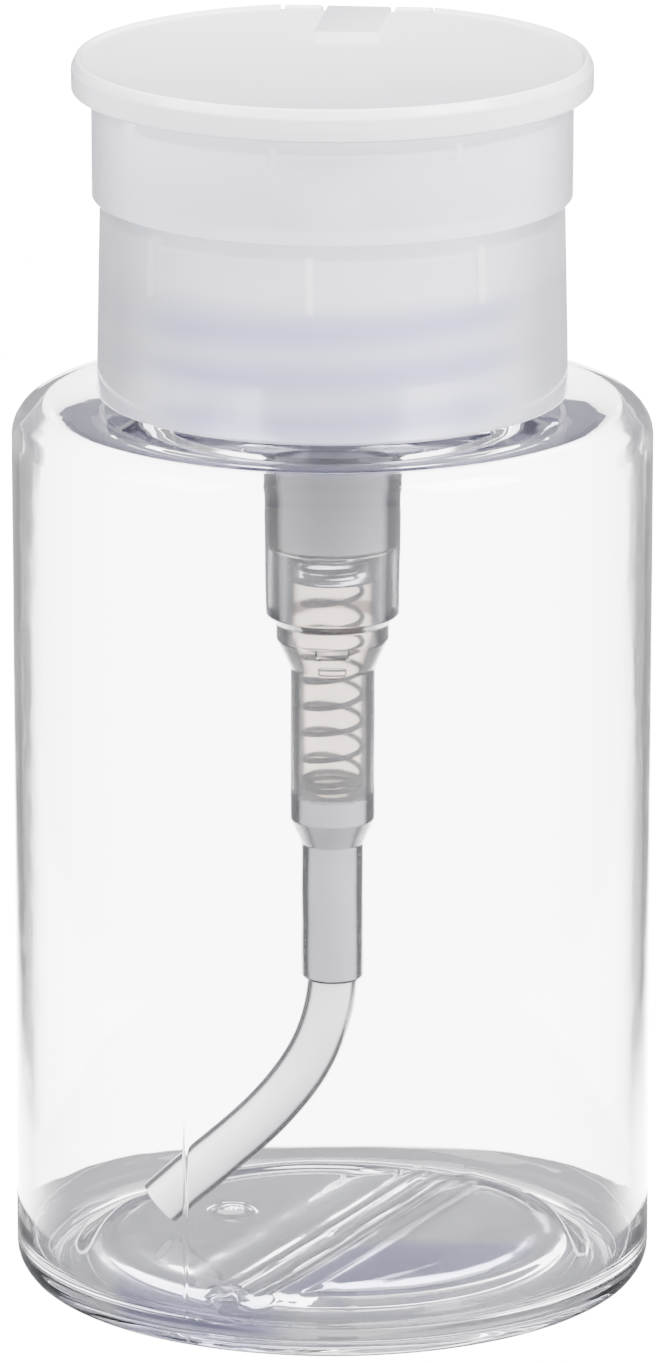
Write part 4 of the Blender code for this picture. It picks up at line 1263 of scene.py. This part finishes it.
def tube_path():
    """The dip tube's middle line: straight in its socket, then bent towards the bottle's heel."""
    top = high("dip_tube")
    heading = Vector((-math.cos(TUBE_SLOPE), 0, -math.sin(TUBE_SLOPE)))
    start = Vector((0, 0, low("pump_housing") + 0.9 * MM))
    end = Vector((-TUBE_REACH * radius_of("bottle"), 0, TUBE_LEVEL))
    reach = (end - start).length
    first = start + Vector((0, 0, -0.40 * reach))
    second = end - heading * 0.35 * reach
    points = []
    for i in range(8):
        points.append(Vector((0, 0, top + (start.z - top) * i / 8)))
    for i in range(TUBE_STEPS + 1):
        t = i / TUBE_STEPS
        s = 1 - t
        points.append(s**3 * start + 3 * s * s * t * first + 3 * s * t * t * second + t**3 * end)
    return points


class DISPENSER_OT_tube(bpy.types.Operator):
    """Make the bent dip tube with its open ends"""

    bl_idname = "dispenser.tube"
    bl_label = "Dip tube"

    def execute(self, context):
        points = tube_path()
        sides = TUBE_SIDES
        verts = []
        side_axis = Vector((0, 1, 0))
        for radius in (TUBE_RADIUS, TUBE_RADIUS - TUBE_WALL):
            for i, point in enumerate(points):
                ahead = points[min(i + 1, len(points) - 1)] - points[max(i - 1, 0)]
                across = ahead.normalized().cross(side_axis).normalized()
                for j in range(sides):
                    angle = 2 * math.pi * j / sides
                    out = math.cos(angle) * across + math.sin(angle) * side_axis
                    verts.append(point + radius * out)
        count = len(points)
        faces = []
        for shell in (0, 1):
            for i in range(count - 1):
                for j in range(sides):
                    k = (j + 1) % sides
                    first = (shell * count + i) * sides
                    quad = (first + j, first + k, first + sides + k, first + sides + j)
                    faces.append(quad if shell == 0 else quad[::-1])
        for i in (0, count - 1):
            for j in range(sides):
                k = (j + 1) % sides
                outer = i * sides
                inner = (count + i) * sides
                quad = (outer + j, inner + j, inner + k, outer + k)
                faces.append(quad if i == 0 else quad[::-1])
        mesh = bpy.data.meshes.new("bent_dip_tube")
        mesh.from_pydata(verts, [], faces)
        work = bmesh.new()
        work.from_mesh(mesh)
        bmesh.ops.recalc_face_normals(work, faces=work.faces[:])
        work.to_mesh(mesh)
        work.free()
        mark(mesh, "bore", [float(i >= count * sides) for i in range(len(verts))])
        obj = add("bent_dip_tube", mesh)
        finish_piece(obj, MATERIALS["tube"], "pump_body", ["dip_tube"], "milky_plastic", 50)
        return {"FINISHED"}


# Head and lid

DISH_TOP = low("press_head") + 11.5 * MM
PIN = (HINGE_REACH, HINGE_PLACE.z)
PIN_RADIUS = 0.65 * MM
PIN_BORE = 0.8 * MM
BOSS_GAP = 5.4 * MM      # over the stem guide
BORE_LENGTH = 20 * MM    # longer than the hinge
TAB_LENGTH = 11.9 * MM
BARREL = 1.35 * MM
BARREL_WIDTH = 6.0 * MM
BARREL_GAP = 0.45 * MM
LUG_WIDTH = 3.55 * MM


def head_outline(sizes):
    outer = radius_of("press_head")
    lip = low("press_head")
    top = DISH_TOP
    bore = outer - sizes.head_wall
    rim = bore - sizes.head_wall / 5
    edge = top - 1.9 * MM
    middle = edge - 0.9 * MM
    thick = 1.2 * MM
    recess = radius_of("nozzle_cap") + 0.3 * MM
    pocket = recess + thick
    floor = middle - thick
    boss_bore = 2.65 * MM
    boss = boss_bore + 1.2 * MM
    boss_low = high("stem_guide") + BOSS_GAP
    upper = []
    for i in range(14):
        radius = recess + (rim - recess) * (i + 1) / 15
        upper.append((radius, middle + (edge - middle) * (radius / rim) ** 2))
    under = [(radius, height - thick) for radius, height in upper if radius > pocket + 0.4 * MM]
    under_edge = edge - thick
    points = [
        (rim, top, 0.12 * MM),
        (outer, top, 0.2 * MM),
        (outer, lip, 0.35 * MM),
        (bore, lip, 0.1 * MM),
        (bore, under_edge, 0.6 * MM),
    ]
    points += under[::-1]
    points += [
        (pocket, under[0][1], 0.3 * MM),
        (pocket, floor - thick, 0.3 * MM),
        (boss, floor - thick, 0.3 * MM),
        (boss, boss_low, 0.2 * MM),
        (boss_bore, boss_low, 0.15 * MM),
        (boss_bore, floor, 0.1 * MM),
        (recess, floor, 0.2 * MM),
        (recess, middle, 0.25 * MM),
    ]
    points += upper
    points += [(rim, edge, 0.6 * MM)]
    return soften(points, ring=True)


class DISPENSER_OT_head(bpy.types.Operator):
    """Make the press head with its dish, boss, ribs and hinge lugs, and the nozzle cap in it"""

    bl_idname = "dispenser.head"
    bl_label = "Press head"

    def execute(self, context):
        sizes = context.scene.dispenser_sizes
        outer = radius_of("press_head")
        obj = lathe("frosted_press_head", head_outline(sizes), even_angles(216), ring=True)
        reach = 1.5 * MM + sizes.head_wall / 2
        wall_radius = outer - sizes.head_wall / 2
        make_ribs("head_ribs", "plunger_body", HEAD_RIB_TURN, reach, wall_radius, HEAD_RIB_SPAN)
        middle = BARREL_WIDTH / 2 + BARREL_GAP + LUG_WIDTH / 2
        inside = math.sqrt(wall_radius**2 - (middle + LUG_WIDTH / 2) ** 2) - 0.5 * MM
        foot = PIN[1] - 2.6 * MM
        outline = [(inside, foot), (PIN[0] - 0.6 * MM, foot)]
        outline += arc(PIN, BARREL, -30, 180, 28)
        outline += [(inside, PIN[1])]
        for side in (-1, 1):
            lug = hinge_plate("lug", outline, LUG_WIDTH, side * middle, 0.15 * MM)
            ends = (DISH_TOP + MM, foot - MM)
            core = lathe("core", [(0, ends[0]), *((wall_radius, end) for end in ends), (0, ends[1])])
            lug = combine(lug, core, "DIFFERENCE")
            obj = combine(obj, lug, "UNION")
        obj = combine(obj, hinge_rod("bore", PIN_BORE, BORE_LENGTH), "DIFFERENCE")
        mark_inside(obj, outer - sizes.head_wall / 2)
        finish_piece(obj, MATERIALS["head"], "plunger_body", ["press_head"], "frosted_plastic", 30)
        self.make_nozzle()
        pin_length = BARREL_WIDTH + 2 * (BARREL_GAP + LUG_WIDTH)
        pin_piece = hinge_rod("hinge_rod", PIN_RADIUS, pin_length, 0.1 * MM)
        finish_piece(pin_piece, MATERIALS["stem"], "plunger_body", ["hinge_pin"], "white_plastic", 40)
        return {"FINISHED"}

    def make_nozzle(self):
        top = high("nozzle_cap")
        outer = radius_of("nozzle_cap")
        edge = low("press_head") + 7.8 * MM
        under = top - 1.0 * MM
        skirt = outer - 0.6 * MM
        stub = low("nozzle_cap")
        points = [(0, top)]
        points += [(r * MM, top - 0.17 * MM * (r / 4.9) ** 2) for r in (1.0, 2.0, 3.0, 4.0)]
        points += [
            (skirt, top - 0.2 * MM, 0.3 * MM),
            (outer, top - 0.5 * MM, 0.25 * MM),
            (outer, edge, 0.1 * MM),
            (skirt, edge, 0.1 * MM),
            (skirt, under, 0.2 * MM),
            (1.5 * MM, under, 0.2 * MM),
            (1.5 * MM, stub, 0.3 * MM),
            (0, stub),
        ]
        obj = lathe("nozzle_disc", soften(points), even_angles(120))
        values = {
            "Count": 6,
            "Radius": 3.3 * MM,
            "Level": under,
            "Turn": math.pi / 2,
            "Size": (0.55 * MM, 0.55 * MM, 6 * MM),
            "Round": True,
        }
        obj = combine(obj, TREES["wheel"].build("spray_holes", values), "DIFFERENCE")
        finish_piece(obj, MATERIALS["guide"], "plunger_body", ["nozzle_cap"], "white_plastic", 35)


def lid_outline(sizes):
    outer = radius_of("lid")
    lowest = low("lid")
    crest = high("lid")
    wall = sizes.lid_wall
    corner = 0.9 * MM
    under = lowest + 1.3 * MM
    sag = 0.9 * MM
    lip = 0.3 * MM
    face = outer - 1.1 * MM
    plug = radius_of("press_head") - sizes.head_wall * 1.2 - 0.3 * MM
    plug_low = lowest + 0.1 * MM
    points = dish(face, crest - sag - lip, crest - lip, 24)
    points += [
        (face, crest - lip, 0.2 * MM),
        (face + 0.3 * MM, crest, 0.15 * MM),
        (outer - corner / 2, crest, 0.3 * MM),
        (outer, crest - corner, 0.8 * MM),
        (outer, lowest, 0.25 * MM),
        (outer - wall, lowest, 0.15 * MM),
        (outer - wall, under, 0.3 * MM),
        (plug, under, 0.15 * MM),
        (plug - 0.1 * MM, plug_low, 0.15 * MM),
        (plug - 0.5 * MM, plug_low, 0.15 * MM),
        (plug - 0.5 * MM, under - 0.1 * MM, 0.3 * MM),
    ]
    under_middle = crest - sag - lip - 1.0 * MM
    points += dish(plug - 0.8 * MM, under_middle, under - 0.12 * MM, 16)[::-1]
    return soften(points)


class DISPENSER_OT_lid(bpy.types.Operator):
    """Make the flip lid with its dished face, hinge notch, tab and barrel"""

    bl_idname = "dispenser.lid"
    bl_label = "Lid"

    def execute(self, context):
        sizes = context.scene.dispenser_sizes
        obj = lathe("flip_lid", lid_outline(sizes), even_angles(240))
        width = BARREL_WIDTH + 2 * (BARREL_GAP + LUG_WIDTH + 0.3 * MM)
        inside = radius_of("press_head") - sizes.head_wall
        depth = 8 * MM
        centre = Vector((0, inside + depth / 2, (low("lid") + high("lid")) / 2))
        notch = box("notch", (width, depth, 8 * MM), centre, HINGE_FRAME)
        obj = combine(obj, notch, "DIFFERENCE")
        under = low("lid") + 1.5 * MM
        meet = 180 - math.degrees(math.asin((under - PIN[1]) / BARREL))
        outline = [(PIN[0] - TAB_LENGTH, under)]
        outline += arc(PIN, BARREL, meet, 450, 32)
        outline += [(PIN[0] - TAB_LENGTH, PIN[1] + BARREL)]
        tab = hinge_plate("tab", outline, BARREL_WIDTH, 0, 0.12 * MM)
        obj = combine(obj, tab, "UNION")
        obj = combine(obj, hinge_rod("bore", PIN_BORE, BORE_LENGTH), "DIFFERENCE")
        finish_piece(obj, MATERIALS["lid"], "lid_body", ["lid"], "frosted_plastic", 30)
        return {"FINISHED"}


# Stage

FLOOR_RADIUS = 4.0
FLOOR_DROP = 0.00005     # below the bottle, so that the two faces don't meet
FLOOR_GLOW = 18.0
SIDE_GLOW = 0.6
SHADE_SPAN = (0.0300, 0.0312)  # depths between which the bottle's shade ends
SHADE_GLOW = 0.014       # what is left of the glow in it
FOOT_SHAPE = (0.705, 1.0, 1.0)  # the shade is wider than it is deep
FOOT_SHIFT = (0.0, -0.003, 0.0)
STRIP_SPAN = (0.037, 0.078)  # distances to the side between which the bright strip ends
STRIP_START = (-0.01, 0.03)  # and the depths between which it starts
STRIP_WIDENING = 0.03
CAMERA_LENS = 289.0
CAMERA_PLACE = (-0.00009, -0.9904, 0.3283)
CAMERA_TILT = 0.2670     # radians below level
SKY = {0.0: (0.46, 0.45, 0.60, 1), 0.55: (0.98, 0.98, 1.03, 1)}
AIM = Vector((0, 0, 0.06))
# Each lamp: place, width and power
LAMPS = {
    "key": ((0.9, -0.5, 1.1), 0.8, 88),
    "fill": ((-1.0, -0.4, 0.9), 0.8, 42),
    "back": ((0.1, 1.0, 1.2), 1.0, 30),
}


class DISPENSER_OT_stage(bpy.types.Operator):
    """Set the pale floor, the soft lights, the world and the camera"""

    bl_idname = "dispenser.stage"
    bl_label = "Stage"

    def execute(self, context):
        scene = context.scene
        camera = bpy.data.cameras.new("Camera")
        camera.lens = CAMERA_LENS
        camera.sensor_width = 36.0
        camera.clip_start = 0.01
        view = bpy.data.objects.new("Camera", camera)
        view.location = CAMERA_PLACE
        view.rotation_euler = (math.pi / 2 - CAMERA_TILT, 0, 0)
        scene.collection.objects.link(view)
        scene.camera = view
        self.make_floor(scene)
        self.make_world(scene)
        for name, (place, size, power) in LAMPS.items():
            self.make_lamp(scene, name, Vector(place), size, power)
        return {"FINISHED"}

    def make_floor(self, scene):
        """A pale floor that shines behind the bottle. Beside it and under it, glass sees the floor dimmer."""
        work = bmesh.new()
        bmesh.ops.create_circle(work, cap_ends=True, segments=96, radius=FLOOR_RADIUS)
        floor = worked("studio_floor", work)
        floor.location.z = -FLOOR_DROP
        shader = Shader("studio_floor", scene.dispenser_colours.floor, 0.6)
        place = shader.place()
        aside = shader.maths("ABSOLUTE", place[0])
        widened = shader.maths("MULTIPLY", place[1], STRIP_WIDENING)
        beside = shader.spread(shader.maths("SUBTRACT", aside, widened), *STRIP_SPAN, 1.0, 0.0)
        behind = shader.spread(place[1], *STRIP_START, 0.0, 1.0)
        strip = shader.maths("MULTIPLY", beside, behind)
        glow = shader.spread(strip, 0.0, 1.0, SIDE_GLOW, FLOOR_GLOW)
        values = (shader.where(), FOOT_SHAPE, FOOT_SHIFT)
        foot = shader.put("ShaderNodeVectorMath", *values, operation="MULTIPLY_ADD")
        depth = shader.put("ShaderNodeVectorMath", foot.outputs[0], operation="LENGTH").outputs["Value"]
        clear = shader.spread(depth, *SHADE_SPAN, SHADE_GLOW, 1.0)
        seen = shader.maths("MULTIPLY", glow, clear)
        first = shader.put("ShaderNodeLightPath").outputs["Is Camera Ray"]
        shader.set("Emission Color", (1, 1, 1, 1))
        shader.set("Emission Strength", shader.spread(first, 0.0, 1.0, seen, FLOOR_GLOW))
        floor.data.materials.append(shader.material)

    def make_world(self, scene):
        world = bpy.data.worlds.new("studio")
        world.use_nodes = True
        sky = Nodes(world.node_tree)
        heading = sky.put("ShaderNodeTexCoord").outputs["Generated"]
        height = sky.put("ShaderNodeSeparateXYZ", heading).outputs[2]
        ramp = sky.put("ShaderNodeValToRGB", height)
        for element, (position, colour) in zip(ramp.color_ramp.elements, SKY.items()):
            element.position = position
            element.color = colour
        ground = world.node_tree.nodes["Background"]
        sky.feed(ground.inputs["Color"], ramp.outputs[0])
        sky.feed(ground.inputs["Strength"], 1.0)
        scene.world = world

    def make_lamp(self, scene, name, place, size, power):
        lamp = bpy.data.lights.new(name, "AREA")
        lamp.energy = power
        lamp.size = size
        obj = bpy.data.objects.new(name, lamp)
        obj.location = place
        obj.rotation_euler = (AIM - place).to_track_quat("-Z", "Y").to_euler()
        scene.collection.objects.link(obj)


class DISPENSER_PT_panel(bpy.types.Panel):
    """Buttons for each group of pieces"""

    bl_idname = "DISPENSER_PT_panel"
    bl_label = "Dispenser"
    bl_space_type = "VIEW_3D"
    bl_region_type = "UI"
    bl_category = "Dispenser"

    def draw(self, context):
        for group in (context.scene.dispenser_sizes, context.scene.dispenser_colours):
            column = self.layout.column()
            for name in group.bl_rna.properties.keys():
                if name not in ("rna_type", "name"):
                    column.prop(group, name)
        for operator in OPERATORS:
            self.layout.operator(operator.bl_idname)


OPERATORS = (
    DISPENSER_OT_bottle,
    DISPENSER_OT_collar,
    DISPENSER_OT_pump,
    DISPENSER_OT_spring,
    DISPENSER_OT_tube,
    DISPENSER_OT_head,
    DISPENSER_OT_lid,
    DISPENSER_OT_stage,
)
CLASSES = (DispenserSizes, DispenserColours, *OPERATORS, DISPENSER_PT_panel)
TREES = {}


def register():
    for cls in CLASSES:
        bpy.utils.register_class(cls)
    bpy.types.Scene.dispenser_sizes = bpy.props.PointerProperty(type=DispenserSizes)
    bpy.types.Scene.dispenser_colours = bpy.props.PointerProperty(type=DispenserColours)


def unregister():
    del bpy.types.Scene.dispenser_colours
    del bpy.types.Scene.dispenser_sizes
    for cls in reversed(CLASSES):
        bpy.utils.unregister_class(cls)


def main():
    register()
    MATERIALS.update(make_materials(bpy.context.scene.dispenser_colours))
    TREES["wheel"] = wheel_tree()
    TREES["spring"] = spring_tree()
    for operator in OPERATORS:
        family, name = operator.bl_idname.split(".")
        getattr(getattr(bpy.ops, family), name)()


if __name__ == "__main__":
    main()
